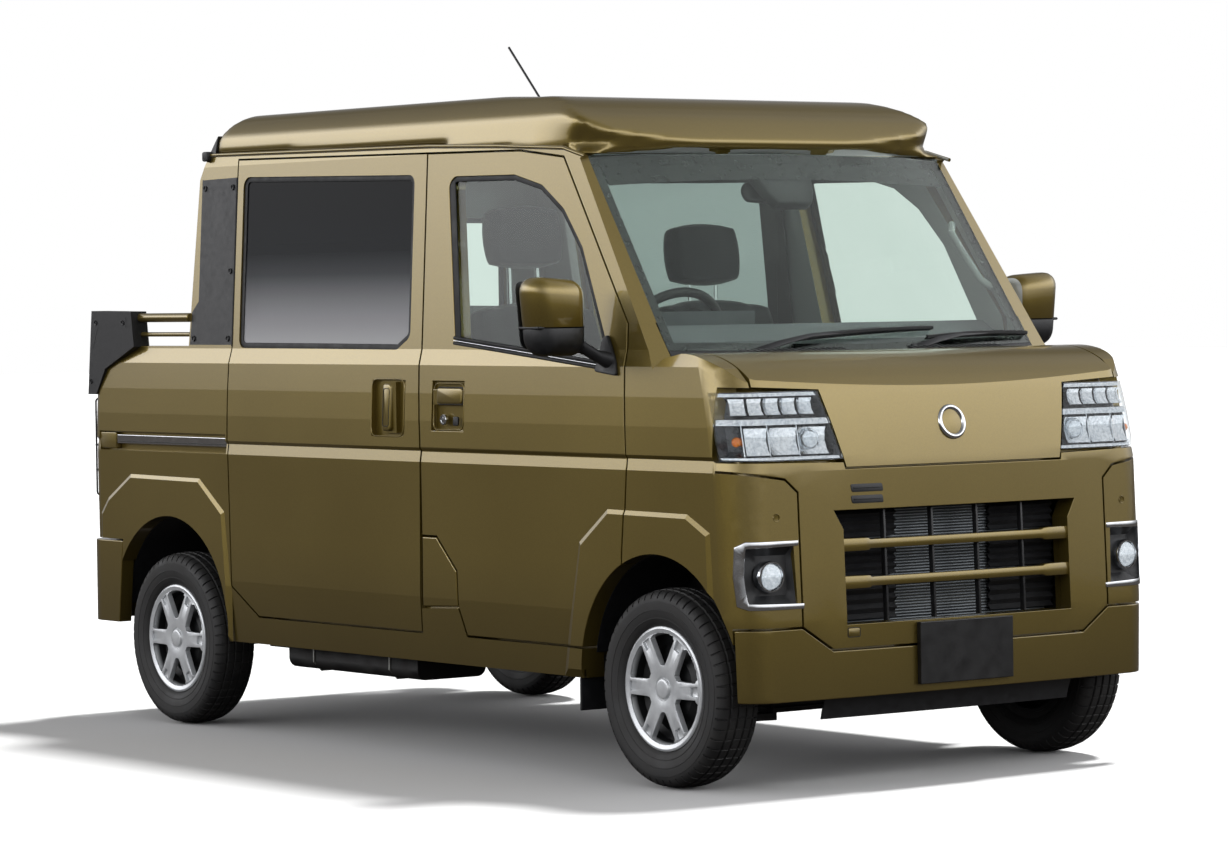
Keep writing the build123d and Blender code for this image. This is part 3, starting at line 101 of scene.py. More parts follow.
def new_material(name, colour, roughness, metallic=0.0, **sockets):
    """A Principled material with its plain values; returns the material, its tree and its shader."""
    material = bpy.data.materials.new(name)
    material.use_nodes = True
    tree = material.node_tree
    shader = tree.nodes["Principled BSDF"]
    shader.inputs["Base Color"].default_value = linear(colour)
    shader.inputs["Roughness"].default_value = roughness
    shader.inputs["Metallic"].default_value = metallic
    for socket, value in sockets.items():
        shader.inputs[socket.replace("_", " ")].default_value = value
    return material, tree, shader


def fill_ramp(node, stops):
    """Gives a colour ramp its stops: (position, linear colour) pairs."""
    for position, colour in stops[1:-1]:
        node.color_ramp.elements.new(position)
    for element, (position, colour) in zip(node.color_ramp.elements, stops):
        element.position = position
        element.color = colour


def mottled(name, colours, roughness, patch, bump=0.0, grain=0.002, metallic=0.0, **sockets):
    """A finish whose tone and gloss drift over patches of a real size, with a fine surface grain."""
    material, tree, shader = new_material(name, colours[0], roughness[0], metallic, **sockets)
    place = add_node(tree, "ShaderNodeTexCoord").outputs["Object"]
    patches = add_node(
        tree, "ShaderNodeTexNoise", {"Vector": place, "Scale": 1.0 / patch, "Detail": 4.0}
    ).outputs["Fac"]
    ramp = add_node(tree, "ShaderNodeValToRGB", {"Fac": patches})
    fill_ramp(ramp, [(0.3, linear(colours[0])), (0.7, linear(colours[1]))])
    tree.links.new(ramp.outputs["Color"], shader.inputs["Base Color"])
    gloss = add_node(
        tree, "ShaderNodeMapRange",
        {"Value": patches, "From Min": 0.3, "From Max": 0.7, "To Min": roughness[0], "To Max": roughness[1]},
    )
    tree.links.new(gloss.outputs[0], shader.inputs["Roughness"])
    if bump:
        bits = add_node(tree, "ShaderNodeTexNoise", {"Vector": place, "Scale": 1.0 / grain, "Detail": 2.0})
        relief = add_node(tree, "ShaderNodeBump", {"Height": bits.outputs["Fac"], "Distance": bump})
        tree.links.new(relief.outputs["Normal"], shader.inputs["Normal"])
    return material


bpy.context.scene.view_settings.view_transform = "Standard"


def seen_directly(tree):
    """1 for what the camera sees, straight or through a pane; 0 for reflections and bounced light."""
    path = add_node(tree, "ShaderNodeLightPath").outputs
    return add_node(
        tree, "ShaderNodeMath", {0: path["Is Camera Ray"], 1: path["Is Transmission Ray"]},
        operation="MAXIMUM",
    ).outputs[0]


# White floor paint, which mirrors and bounces as little light as a dark stage floor, so that the
# lower panels stay deep.
floor_paint, tree, shader = new_material("matt_floor_paint", "#F4F4F3", 0.9)
patches = add_node(tree, "ShaderNodeTexNoise", {"Scale": 0.8, "Detail": 3.0}).outputs["Fac"]
floor_white = 0.64
lit = add_node(
    tree, "ShaderNodeMix",
    {
        0: patches, 6: (floor_white, floor_white, floor_white, 1.0),
        7: (floor_white + 0.05, floor_white + 0.05, floor_white + 0.04, 1.0),
    },
    data_type="RGBA",
)
lit = add_node(tree, "ShaderNodeMix", {0: seen_directly(tree), 6: linear("#3C3937"), 7: lit.outputs[2]},
               data_type="RGBA")
matt = add_node(tree, "ShaderNodeBsdfDiffuse", {"Color": lit.outputs[2]})
tree.links.new(matt.outputs[0], tree.nodes["Material Output"].inputs["Surface"])
bpy.ops.mesh.primitive_plane_add(size=120.0)
floor = bpy.context.object
floor.name = "studio_floor"
floor.data.materials.append(floor_paint)

world = bpy.data.worlds.new("studio_sky")
bpy.context.scene.world = world
world.use_nodes = True
tree = world.node_tree
direction = add_node(tree, "ShaderNodeTexCoord").outputs["Generated"]
rise = add_node(tree, "ShaderNodeSeparateXYZ", {"Vector": direction}).outputs["Z"]
sky_strength = 5.0


def sky_ramp(levels):
    """Brightness by height: (sine of the elevation, brightness) pairs."""
    shade = add_node(tree, "ShaderNodeValToRGB", {"Fac": rise})
    shares = [(position, level / sky_strength) for position, level in levels]
    fill_ramp(shade, [(position, (share, share, share * 1.02, 1.0)) for position, share in shares])
    return shade.outputs["Color"]


def toward(heading, start, full):
    """0 to 1 as the view turns towards a compass heading."""
    aim = add_node(
        tree, "ShaderNodeVectorMath", {0: direction, 1: (cos(radians(heading)), sin(radians(heading)), 0.0)},
        operation="DOT_PRODUCT",
    )
    return add_node(
        tree, "ShaderNodeMapRange", {"Value": aim.outputs["Value"], "From Min": start, "From Max": full}
    ).outputs[0]


# heading of a part of the sky, the cosines between which it comes in, and its brightness by height
SKY_PARTS = [
    # off the right rear corner, where the right side panels look back to the camera
    (217.0, 0.0, 0.6, (
        (0.0, 0.12), (0.04, 0.22), (0.10, 1.5), (0.17, 3.1), (0.33, 3.8), (0.52, 0.6), (1.0, 0.16),
    )),
    # off the left front corner, which the nose mirrors
    (53.0, 0.0, 0.6, (
        (0.0, 0.34), (0.03, 0.50), (0.12, 1.5), (0.40, 2.6), (0.54, 2.2), (0.68, 0.8), (1.0, 0.16),
    )),
    # beyond the van, mirrored by the roof
    (143.0, 0.35, 0.85, (
        (0.0, 0.30), (0.04, 0.38), (0.12, 0.42), (0.22, 0.22), (0.40, 0.10), (1.0, 0.08),
    )),
]
sky = sky_ramp([(0.0, 0.26), (0.04, 0.40), (0.12, 0.9), (0.26, 1.3), (0.42, 1.0), (0.60, 0.5), (1.0, 0.16)])
for heading, start, full, levels in SKY_PARTS:
    sky = add_node(
        tree, "ShaderNodeMix", {0: toward(heading, start, full), 6: sky, 7: sky_ramp(levels)},
        data_type="RGBA",
    ).outputs[2]
white = 1.0 / sky_strength
sky = add_node(tree, "ShaderNodeMix", {0: seen_directly(tree), 6: sky, 7: (white, white, white, 1.0)},
               data_type="RGBA")
tree.links.new(sky.outputs[2], tree.nodes["Background"].inputs["Color"])
tree.nodes["Background"].inputs["Strength"].default_value = sky_strength

key = bpy.data.lights.new("key_light", "SUN")
key.energy = 5.0
key.angle = radians(9.0)
key_light = bpy.data.objects.new("key_light", key)
bpy.context.scene.collection.objects.link(key_light)
key_light.visible_glossy = False
key_light.rotation_euler = Vector((0.06, -0.46, -1.0)).to_track_quat("-Z", "Y").to_euler()


# ==== Running gear
# The ladder frame, axles, arms, tank and exhaust are welded and cast steel in satin black, dulled
# by road film. They are the CAD solids themselves, with their edges broken.
same_point = 0.00002  # points closer than this are one


def soften(name, edge, steps):
    """Rounds the edges of a carried-over solid and evens its shading."""
    node = nodes[name]
    weld = node.modifiers.new("weld", "WELD")
    weld.merge_threshold = same_point
    flat = node.modifiers.new("flat", "DECIMATE")
    flat.decimate_type = "DISSOLVE"
    flat.angle_limit = radians(0.4)
    roll = node.modifiers.new("roll", "BEVEL")
    roll.width = edge
    roll.segments = steps
    roll.limit_method = "ANGLE"
    roll.angle_limit = radians(28.0)
    roll.harden_normals = False
    even = node.modifiers.new("even", "WEIGHTED_NORMAL")
    even.keep_sharp = True


def dress(names, material, edge=0.002, steps=2):
    """Gives carried-over CAD nodes one finish and soft edges."""
    for name in names:
        nodes[name].data.materials.clear()
        nodes[name].data.materials.append(material)
        soften(name, edge, steps)


# Satin chassis black over steel: nearly black, patchy with road film, faintly rough.
chassis_black = mottled(
    "satin_black_chassis_paint", ("#0E0E0F", "#1C1A18"), (0.4, 0.75), 0.08, 0.0003, 0.004
)
dress(["chassis_frame", "front_suspension", "rear_axle", "knuckle_right", "knuckle_left", "fuel_tank",
       "wheel_housings"], chassis_black)
# Sand-cast iron of the gearbox and final drive: mid grey, matt and pebbled.
cast_iron = mottled("sand_cast_iron", ("#3A3936", "#4B4945"), (0.6, 0.85), 0.05, 0.0006, 0.003, 0.6)
dress(["driveline"], cast_iron)
# Aluminised steel of the exhaust: dull grey with brown heat marks.
hot_steel = mottled(
    "aluminised_exhaust_steel", ("#5C554B", "#83807A"), (0.35, 0.6), 0.12, 0.0001, 0.002, 0.9
)
dress(["exhaust"], hot_steel)
# Electro-coated sheet of the floor: matt grey-black.
floor_coat = mottled("electro_coated_floor", ("#1B1C1C", "#262625"), (0.6, 0.8), 0.15, 0.0003, 0.006)
dress(["floor_pan"], floor_coat)
# a wave node at a scale of 1 draws about this many dark and light bands to the metre
wave_bands = 6.28
# Rolled aluminium radiator: grey fins that run across the whole core, drawn 4 mm tall so that they show,
# with painted shade in the gaps between them.
radiator_fins, tree, shader = new_material("rolled_aluminium_fins", "#55595C", 0.42, 0.85)
place = add_node(tree, "ShaderNodeTexCoord").outputs["Object"]
fins = add_node(
    tree, "ShaderNodeTexWave",
    {"Vector": place, "Scale": 1.0 / 0.004 / wave_bands, "Distortion": 0.4, "Detail": 1.0},
    bands_direction="Z",
)
# dark bands: painted shade in the gaps between the fins
fin_painted_shade = add_node(
    tree, "ShaderNodeMix", {0: fins.outputs["Fac"], 6: linear("#24272A"), 7: linear("#6E7376")},
    data_type="RGBA",
)
tree.links.new(fin_painted_shade.outputs[2], shader.inputs["Base Color"])
relief = add_node(tree, "ShaderNodeBump", {"Height": fins.outputs["Fac"], "Distance": 0.001})
tree.links.new(relief.outputs["Normal"], shader.inputs["Normal"])
dress(["radiator"], radiator_fins)


# ==== Tyres
# Light-truck radials of black rubber: three straight grooves, cross-cut shoulder blocks and two
# fine rings moulded into each sidewall.
def only(piece):
    """Selects one piece and nothing else."""
    bpy.ops.object.select_all(action="DESELECT")
    piece.select_set(True)
    bpy.context.view_layer.objects.active = piece


def loop_of(name, points, fill="NOTHING"):
    """A closed loop through points in space, to be spun or extruded."""
    bpy.ops.object.select_all(action="DESELECT")
    bpy.ops.mesh.primitive_circle_add(vertices=len(points), fill_type=fill)
    piece = bpy.context.object
    piece.name = name
    for vertex, point in zip(piece.data.vertices, points):
        vertex.co = point
    return piece


def spun(name, points, centre, axis, steps, angle=2 * pi):
    """Turns a loop of points about an axis."""
    piece = loop_of(name, points)
    bpy.ops.object.mode_set(mode="EDIT")
    bpy.ops.mesh.select_all(action="SELECT")
    bpy.ops.mesh.spin(steps=steps, angle=angle, center=centre, axis=axis)
    bpy.ops.mesh.select_all(action="SELECT")
    bpy.ops.mesh.remove_doubles(threshold=same_point)
    bpy.ops.mesh.dissolve_degenerate(threshold=same_point)
    bpy.ops.mesh.select_all(action="SELECT")
    bpy.ops.mesh.normals_make_consistent(inside=False)
    bpy.ops.object.mode_set(mode="OBJECT")
    return piece


def finish(piece, material, body, stands_for=(), smooth=35.0):
    """Smooths a piece, gives it its finish and puts it on its body."""
    only(piece)
    bpy.ops.object.shade_smooth_by_angle(angle=radians(smooth))
    piece.data.materials.clear()
    piece.data.materials.append(material)
    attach(piece, body)
    if stands_for:
        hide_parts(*stands_for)
    return piece


def merged(distance):
    """Merges the active piece's points within a distance and turns its faces outwards."""
    bpy.ops.object.mode_set(mode="EDIT")
    bpy.ops.mesh.select_all(action="SELECT")
    bpy.ops.mesh.remove_doubles(threshold=distance)
    bpy.ops.mesh.normals_make_consistent(inside=False)
    bpy.ops.object.mode_set(mode="OBJECT")


def copied(piece, change, old, new, body, stands_for):
    """A moved or mirrored copy of a piece with its own mesh; each of its names swaps one word."""
    copy = piece.copy()
    copy.data = piece.data.copy()
    copy.name = piece.name.replace(old, new)
    bpy.context.scene.collection.objects.link(copy)
    copy.parent = None
    copy.matrix_world = Matrix.Identity(4)
    copy.data.transform(change)
    if change.determinant() < 0.0:
        copy.data.flip_normals()
    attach(copy, body.replace(old, new))
    if stands_for:
        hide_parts(*[node.replace(old, new) for node in stands_for])
    return copy


to_left = Matrix.Diagonal((1.0, -1.0, 1.0, 1.0))


def finish_both(piece, material, body, stands_for=(), smooth=35.0):
    """Finishes a right-hand piece and makes its left-hand copy."""
    finish(piece, material, body, stands_for, smooth)
    copied(piece, to_left, "_right", "_left", body, stands_for)


front_axle_x = 1.285
rear_axle_x = -1.165
hub_z = 0.267
wheel_y = 0.6525
to_rear = Matrix.Translation((rear_axle_x - front_axle_x, 0.0, 0.0))


def finish_wheels(piece, material, stands_for, smooth):
    """Finishes a piece of the right front wheel and copies it to the other three."""
    finish_both(piece, material, "road_wheel_front_right", stands_for, smooth)
    rear = copied(piece, to_rear, "_front", "_rear", "road_wheel_front_right", stands_for)
    rear_nodes = [node.replace("_front", "_rear") for node in stands_for]
    copied(rear, to_left, "_right", "_left", "road_wheel_rear_right", rear_nodes)


tyre_pitches = 54
# distance outboard of the wheel's middle, radius, whether cross cuts reach this row
TREAD_HALF = [
    (0.0, 0.2655, 1), (0.0095, 0.2655, 1), (0.0115, 0.2600, 0), (0.0155, 0.2600, 0), (0.0175, 0.2650, 1),
    (0.0340, 0.2635, 1), (0.0360, 0.2580, 0), (0.0400, 0.2580, 0), (0.0420, 0.2615, 1), (0.0530, 0.2590, 2),
    (0.0600, 0.2550, 2), (0.0660, 0.2480, 2),
]
SIDEWALL = [
    (0.0695, 0.2400, 0), (0.0708, 0.2330, 0), (0.0716, 0.2326, 0), (0.0718, 0.2300, 0), (0.0720, 0.2200, 0),
    (0.0718, 0.2120, 0), (0.0725, 0.2115, 0), (0.0725, 0.2095, 0), (0.0715, 0.2090, 0), (0.0700, 0.1980, 0),
    (0.0680, 0.1900, 0), (0.0688, 0.1895, 0), (0.0686, 0.1870, 0), (0.0676, 0.1865, 0), (0.0640, 0.1780, 0),
    (0.0600, 0.1720, 0), (0.0560, 0.1685, 0), (0.0545, 0.1610, 0), (0.0540, 0.1525, 0),
]
half_profile = TREAD_HALF + SIDEWALL
profile = [(-d, r, cut) for d, r, cut in reversed(half_profile[1:])] + half_profile
# where each pitch's columns stand, and how deep its cross cut is there
COLUMNS = [(0.0, 0.0), (0.40, 0.0), (0.44, 1.0), (0.56, 1.0), (0.60, 0.0), (1.0, 0.0)]
pitch_angle = 2 * pi / tyre_pitches
cut_depth = {0: 0.0, 1: 0.0022, 2: 0.0062}
# how far each row is turned on for each metre outboard, as far as the edge of the tread
skew = 0.45
tread_edge = TREAD_HALF[-1][0]
hub = Vector((front_axle_x, -wheel_y, hub_z))
pitch = spun(
    "tyre_pitch", [hub + Vector((0.0, -d, r)) for d, r, cut in profile], hub, (0, 1, 0), len(COLUMNS) - 1,
    pitch_angle,
)
rows = len(profile)
for vertex in pitch.data.vertices:
    offset = vertex.co - hub
    radius = (offset.x**2 + offset.z**2) ** 0.5
    angle = atan2(offset.x, offset.z)
    column = round(abs(angle) / (pitch_angle / (len(COLUMNS) - 1)))
    row = min(range(rows), key=lambda k: abs(profile[k][0] + offset.y) + abs(profile[k][1] - radius))
    share, depth = COLUMNS[column]
    radius -= cut_depth[profile[row][2]] * depth
    turn = (share * pitch_angle) * (1 if angle >= 0 else -1)
    turn += skew * min(abs(offset.y), tread_edge)
    vertex.co = hub + Vector((radius * sin(turn), offset.y, radius * cos(turn)))
tyre = pitch
tyre.name = "radial_tyre_front_right"
only(tyre)
one_pitch = tyre.data.copy()
for k in range(1, tyre_pitches):
    step = bpy.data.objects.new(f"pitch_{k}", one_pitch.copy())
    bpy.context.scene.collection.objects.link(step)
    step.data.transform(
        Matrix.Translation(hub) @ Matrix.Rotation(pitch_angle * k, 4, "Y") @ Matrix.Translation(-hub)
    )
    step.select_set(True)
bpy.ops.object.join()
merged(0.0001)

# Vulcanised natural rubber: charcoal with a faint brown bloom, fine-grained and nearly matt.
tyre_rubber = mottled("vulcanised_tyre_rubber", ("#1A1A1B", "#242322"), (0.55, 0.72), 0.06, 0.0002, 0.0015)
finish_wheels(tyre, tyre_rubber, ["tyre_front_right"], 32.0)


# ==== Wheels
# A pressed steel rim in dark silver carries a snap-on cover, injection moulded in ABS and lacquered
# silver: six broad spokes with a sunk window at each end, and a plain round cap.
def modify(piece, kind, **settings):
    """Adds one modifier and applies it."""
    only(piece)
    modifier = piece.modifiers.new("step", kind)
    for name, value in settings.items():
        setattr(modifier, name, value)
    bpy.ops.object.modifier_apply(modifier=modifier.name)
    return piece


def round_edges(piece, edge, steps=2, angle=30.0):
    """Breaks the sharp edges of a piece."""
    return modify(
        piece, "BEVEL", width=edge, segments=steps, limit_method="ANGLE", angle_limit=radians(angle)
    )


def cut_away(piece, cutter):
    """Cuts one piece's shape out of another and throws the cutter away."""
    modify(piece, "BOOLEAN", operation="DIFFERENCE", solver="EXACT", object=cutter)
    bpy.data.objects.remove(cutter)
    return piece


def thickened(piece, along):
    """Extrudes an open sheet along a vector and turns its faces outwards."""
    bpy.ops.object.mode_set(mode="EDIT")
    bpy.ops.mesh.select_all(action="SELECT")
    bpy.ops.mesh.extrude_region_move(TRANSFORM_OT_translate={"value": along})
    bpy.ops.mesh.select_all(action="SELECT")
    bpy.ops.mesh.normals_make_consistent(inside=False)
    bpy.ops.object.mode_set(mode="OBJECT")
    return piece


def prism(name, points, thickness):
    """A flat outline in space given a thickness along a vector."""
    return thickened(loop_of(name, points, "NGON"), thickness)


def joined(pieces, name):
    """Several loose meshes as one piece."""
    bpy.ops.object.select_all(action="DESELECT")
    for piece in pieces:
        piece.select_set(True)
    bpy.context.view_layer.objects.active = pieces[0]
    bpy.ops.object.join()
    bpy.context.object.name = name
    return bpy.context.object


def about_hub(d, reach, aside, angle):
    """A point on the right front wheel: outboard distance, distance from the axle, and to one side."""
    along = Vector((cos(angle), 0.0, sin(angle)))
    across = Vector((-sin(angle), 0.0, cos(angle)))
    return hub + Vector((0.0, -d, 0.0)) + reach * along + aside * across


cover_back = 0.0435
cover_profile = [
    (cover_back, 0.0), (cover_back, 0.138), (0.0480, 0.146), (0.0480, 0.1660), (0.0530, 0.1668),
    (0.0585, 0.1655), (0.0605, 0.1600), (0.0560, 0.1490), (0.0600, 0.1440), (0.0600, 0.0600),
    (0.0590, 0.0330), (0.0560, 0.0310), (0.0560, 0.0280), (0.0625, 0.0255), (0.0635, 0.0200), (0.0638, 0.0),
]
wheel_steps = 96
cover = spun(
    "wheel_cover_front_right", [hub + Vector((0.0, -d, r)) for d, r in cover_profile], hub, (0, 1, 0),
    wheel_steps,
)
OPENING = [
    (0.062, -0.007), (0.070, -0.014), (0.130, -0.050), (0.1415, -0.044), (0.1475, -0.022), (0.1490, 0.0),
    (0.1475, 0.022), (0.1415, 0.044), (0.130, 0.050), (0.070, 0.014), (0.062, 0.007),
]
WINDOW = [(0.118, -0.0115), (0.146, -0.0145), (0.146, 0.0145), (0.118, 0.0115)]
cutters = []
for spoke in range(6):
    opening_angle = radians(30.0 + 60.0 * spoke)
    cutters.append(
        prism("opening", [about_hub(0.03, r, a, opening_angle) for r, a in OPENING], (0.0, -0.06, 0.0))
    )
    spoke_angle = radians(60.0 * spoke)
    cutters.append(
        prism("window", [about_hub(0.0525, r, a, spoke_angle) for r, a in WINDOW], (0.0, -0.03, 0.0))
    )
cut_away(cover, joined(cutters, "cover_openings"))
round_edges(cover, 0.0016, 2, 28.0)
# Silver lacquer on moulded ABS: pale neutral grey, fine flake, soft gloss under a clear coat.
cover_silver = mottled(
    "silver_lacquered_abs", ("#C6C9CC", "#D2D5D7"), (0.28, 0.36), 0.02, 0.00005, 0.001, 0.35,
    Coat_Weight=0.6, Coat_Roughness=0.08,
)
finish_wheels(cover, cover_silver, ["wheel_front_right"], 30.0)

rim_profile = [
    (-0.0540, 0.1420), (-0.0540, 0.1515), (0.0520, 0.1515), (0.0560, 0.1600), (0.0590, 0.1590),
    (0.0560, 0.1500), (0.0400, 0.1440), (0.0180, 0.1400), (0.0120, 0.1200), (0.0300, 0.0900),
    (0.0300, 0.0560), (0.0080, 0.0500), (0.0080, 0.0210), (0.0000, 0.0210), (0.0000, 0.0560),
    (0.0200, 0.0600), (0.0200, 0.0880), (0.0040, 0.1180), (0.0060, 0.1400),
]
rim = spun(
    "steel_rim_front_right", [hub + Vector((0.0, -d, r)) for d, r in rim_profile], hub, (0, 1, 0),
    wheel_steps,
)
# Pressed steel rim, powder coated: satin silver-grey, with painted shade that turns it nearly black further
# in behind the cover.
rim_paint, tree, shader = new_material("powder_coated_steel_rim", "#8E9194", 0.45, 0.3)
place = add_node(tree, "ShaderNodeTexCoord").outputs["Object"]
outboard = add_node(tree, "ShaderNodeSeparateXYZ", {"Vector": place}).outputs["Y"]
outboard = add_node(tree, "ShaderNodeMath", {0: outboard}, operation="ABSOLUTE")
# painted shade: the rim is drawn nearly black inboard, where the cover hides it
deep = add_node(
    tree, "ShaderNodeMapRange", {"Value": outboard.outputs[0], "From Min": 0.690, "From Max": 0.704}
)
rim_painted_shade = add_node(tree, "ShaderNodeMix", {0: deep.outputs[0], 6: linear("#141516"), 7: linear("#CDD0D2")},
                     data_type="RGBA")
tree.links.new(rim_painted_shade.outputs[2], shader.inputs["Base Color"])
finish_wheels(rim, rim_paint, (), 30.0)


# ==== Painted body panels
# Pressed steel doors, wings, hood, roof and bed panels, sprayed with an olive metallic base coat
# under clear lacquer. These are the CAD panels, with every pressed edge rolled over.
def lining_mask(tree):
    """1 on faces that look into the cab, 0 on the outside of a panel."""
    coordinates = add_node(tree, "ShaderNodeTexCoord")
    place = add_node(tree, "ShaderNodeSeparateXYZ", {"Vector": coordinates.outputs["Object"]})
    facing = add_node(tree, "ShaderNodeSeparateXYZ", {"Vector": coordinates.outputs["Normal"]})
    side = add_node(tree, "ShaderNodeMath", {0: place.outputs["Y"]}, operation="SIGN")
    inward = add_node(
        tree, "ShaderNodeMath", {0: side.outputs[0], 1: facing.outputs["Y"]}, operation="MULTIPLY"
    )
    # the cab floor line climbs forwards over the wheel arch, so low faces near the nose stay outside
    climb = add_node(tree, "ShaderNodeMath", {0: place.outputs["Z"], 1: -1.2, 2: place.outputs["X"]},
                     operation="MULTIPLY_ADD")
    tests = {}
    for name, value, operation, limit in (
        ("faces inwards", inward.outputs[0], "LESS_THAN", -0.6),
        ("in the cab", place.outputs["X"], "GREATER_THAN", -1.04),
        ("behind the nose", climb.outputs[0], "LESS_THAN", -0.1),
        ("faces down", facing.outputs["Z"], "LESS_THAN", -0.7),
        ("overhead", place.outputs["Z"], "GREATER_THAN", 1.70),
        ("faces forwards", facing.outputs["X"], "GREATER_THAN", 0.7),
        ("at the rear wall", place.outputs["X"], "LESS_THAN", -1.0),
    ):
        tests[name] = add_node(tree, "ShaderNodeMath", {0: value, 1: limit}, operation=operation).outputs[0]
    # side linings, headlining and rear wall: each is where all of its tests pass
    mask = 0.0
    for names in (
        ("faces inwards", "in the cab", "behind the nose"), ("faces down", "overhead"),
        ("faces forwards", "at the rear wall", "in the cab"),
    ):
        passed = 1.0
        for name in names:
            passed = add_node(
                tree, "ShaderNodeMath", {0: passed, 1: tests[name]}, operation="MULTIPLY"
            ).outputs[0]
        mask = add_node(tree, "ShaderNodeMath", {0: mask, 1: passed}, operation="MAXIMUM").outputs[0]
    return mask


# Olive metallic base under lacquer: deep green-brown that lifts to straw where it catches light. The
# flake is drawn at 1.5 mm, coarser than life, so that it shows at all.
olive_paint, tree, shader = new_material(
    "olive_metallic_paint", "#77662B", 0.30, 0.72, Coat_Weight=1.0, Coat_Roughness=0.04, Coat_IOR=1.5
)
place = add_node(tree, "ShaderNodeTexCoord").outputs["Object"]
flake = add_node(tree, "ShaderNodeTexVoronoi", {"Vector": place, "Scale": 1.0 / 0.0015})
drift = add_node(tree, "ShaderNodeTexNoise", {"Vector": place, "Scale": 1.6, "Detail": 3.0})
tone = add_node(tree, "ShaderNodeMix", {0: drift.outputs["Fac"], 6: linear("#6F5E24"), 7: linear("#7E6D32")},
                data_type="RGBA")
sparkle = add_node(
    tree, "ShaderNodeMapRange", {"Value": flake.outputs["Color"], "To Min": 0.9, "To Max": 1.12}
)
flaked = add_node(
    tree, "ShaderNodeMix", {0: 1.0, 6: tone.outputs[2], 7: sparkle.outputs[0]}, data_type="RGBA",
    blend_type="MULTIPLY",
)
height = add_node(tree, "ShaderNodeSeparateXYZ", {"Vector": place}).outputs["Z"]
# darker towards the sills: road dust together with painted shade of the low panels that face the dark ground
dust_and_shade = add_node(
    tree, "ShaderNodeMapRange",
    {"Value": height, "From Min": 0.22, "From Max": 0.60, "To Min": 0.45, "To Max": 0.0},
)
dusted_and_shaded = add_node(tree, "ShaderNodeMix", {0: dust_and_shade.outputs[0], 6: flaked.outputs[2], 7: linear("#382F18")},
                  data_type="RGBA")
lining = lining_mask(tree)
lined = add_node(
    tree, "ShaderNodeMix", {0: lining, 6: dusted_and_shaded.outputs[2], 7: linear("#A3A7A4")}, data_type="RGBA"
)
tree.links.new(lined.outputs[2], shader.inputs["Base Color"])
metal_share = add_node(tree, "ShaderNodeMapRange", {"Value": lining, "To Min": 0.72, "To Max": 0.0})
tree.links.new(metal_share.outputs[0], shader.inputs["Metallic"])
gloss = add_node(
    tree, "ShaderNodeMapRange", {"Value": drift.outputs["Fac"], "To Min": 0.285, "To Max": 0.33}
)
tree.links.new(gloss.outputs[0], shader.inputs["Roughness"])
peel = add_node(tree, "ShaderNodeTexNoise", {"Vector": place, "Scale": 1.0 / 0.012, "Detail": 1.0})
relief = add_node(
    tree, "ShaderNodeBump", {"Height": peel.outputs["Fac"], "Strength": 0.2, "Distance": 0.0002}
)
tree.links.new(relief.outputs["Normal"], shader.inputs["Coat Normal"])
dress(
    [
        "front_door_right", "front_door_left", "slide_doors", "side_body_right", "side_body_left", "fenders",
        "hood", "front_panel", "tailgate", "rear_bumper", "fuel_lid", "bed_floor", "cab_rear_wall",
        "inner_frame", "bed_rails",
    ],
    olive_paint, 0.003, 3,
)
dress(["front_bumper"], olive_paint, 0.008, 3)


# ==== Roof
# One deep pressing with softly rounded shoulders and brow. It is drawn from the CAD roof, remeshed
# finely, with its lip tucked in over the glass, and relaxed above the drip rails, where the real
# panel is one flowing surface.
def unit(value):
    """A value held between 0 and 1."""
    return min(max(value, 0.0), 1.0)


# the lip tucks in below a height and ahead of a place, fully so after a run
lip_top, lip_height = 1.80, 0.07
lip_start, lip_run = 0.66, 0.16
lip_back = 0.022
lip_narrowing = 0.016
# the shoulders relax from a height, fully so after a rise
shoulder_foot, shoulder_rise = 1.722, 0.115
roof = bpy.data.objects.new("roof_pressing", nodes["roof_panel"].data.copy())
bpy.context.scene.collection.objects.link(roof)
roof.data.transform(nodes["roof_panel"].matrix_world)
modify(roof, "WELD", merge_threshold=same_point)
modify(roof, "REMESH", mode="VOXEL", voxel_size=0.0125, use_smooth_shade=True)
soft = roof.vertex_groups.new(name="soft")
for vertex in roof.data.vertices:
    tuck = unit((lip_top - vertex.co.z) / lip_height) * unit((vertex.co.x - lip_start) / lip_run)
    vertex.co.x -= lip_back * tuck
    vertex.co.y *= 1.0 - lip_narrowing * tuck
    share = unit((vertex.co.z - shoulder_foot) / shoulder_rise)
    if share > 0.0:
        soft.add([vertex.index], share, "REPLACE")
modify(roof, "SMOOTH", factor=0.5, iterations=14, vertex_group="soft")
roof.vertex_groups.clear()
finish(roof, olive_paint, "chassis", ["roof_panel"], 50.0)


# half width of the body side at each height
SIDE_LEVELS = [
    (0.235, 0.716), (0.461, 0.730), (0.845, 0.7335), (0.876, 0.729), (0.886, 0.735), (0.962, 0.733),
    (1.040, 0.729), (1.120, 0.723), (1.165, 0.710), (1.720, 0.655), (1.900, 0.618),
]


def between(table, at, column=1):
    """A value read off a table by straight lines between its rows."""
    for low, high in zip(table, table[1:]):
        if at <= high[0]:
            break
    share = unit((at - low[0]) / (high[0] - low[0]))
    return low[column] + share * (high[column] - low[column])


def on_side(x, z, proud=0.0):
    """A point on the right-hand body side, or proud of it."""
    return Vector((x, -(between(SIDE_LEVELS, z) + proud), z))
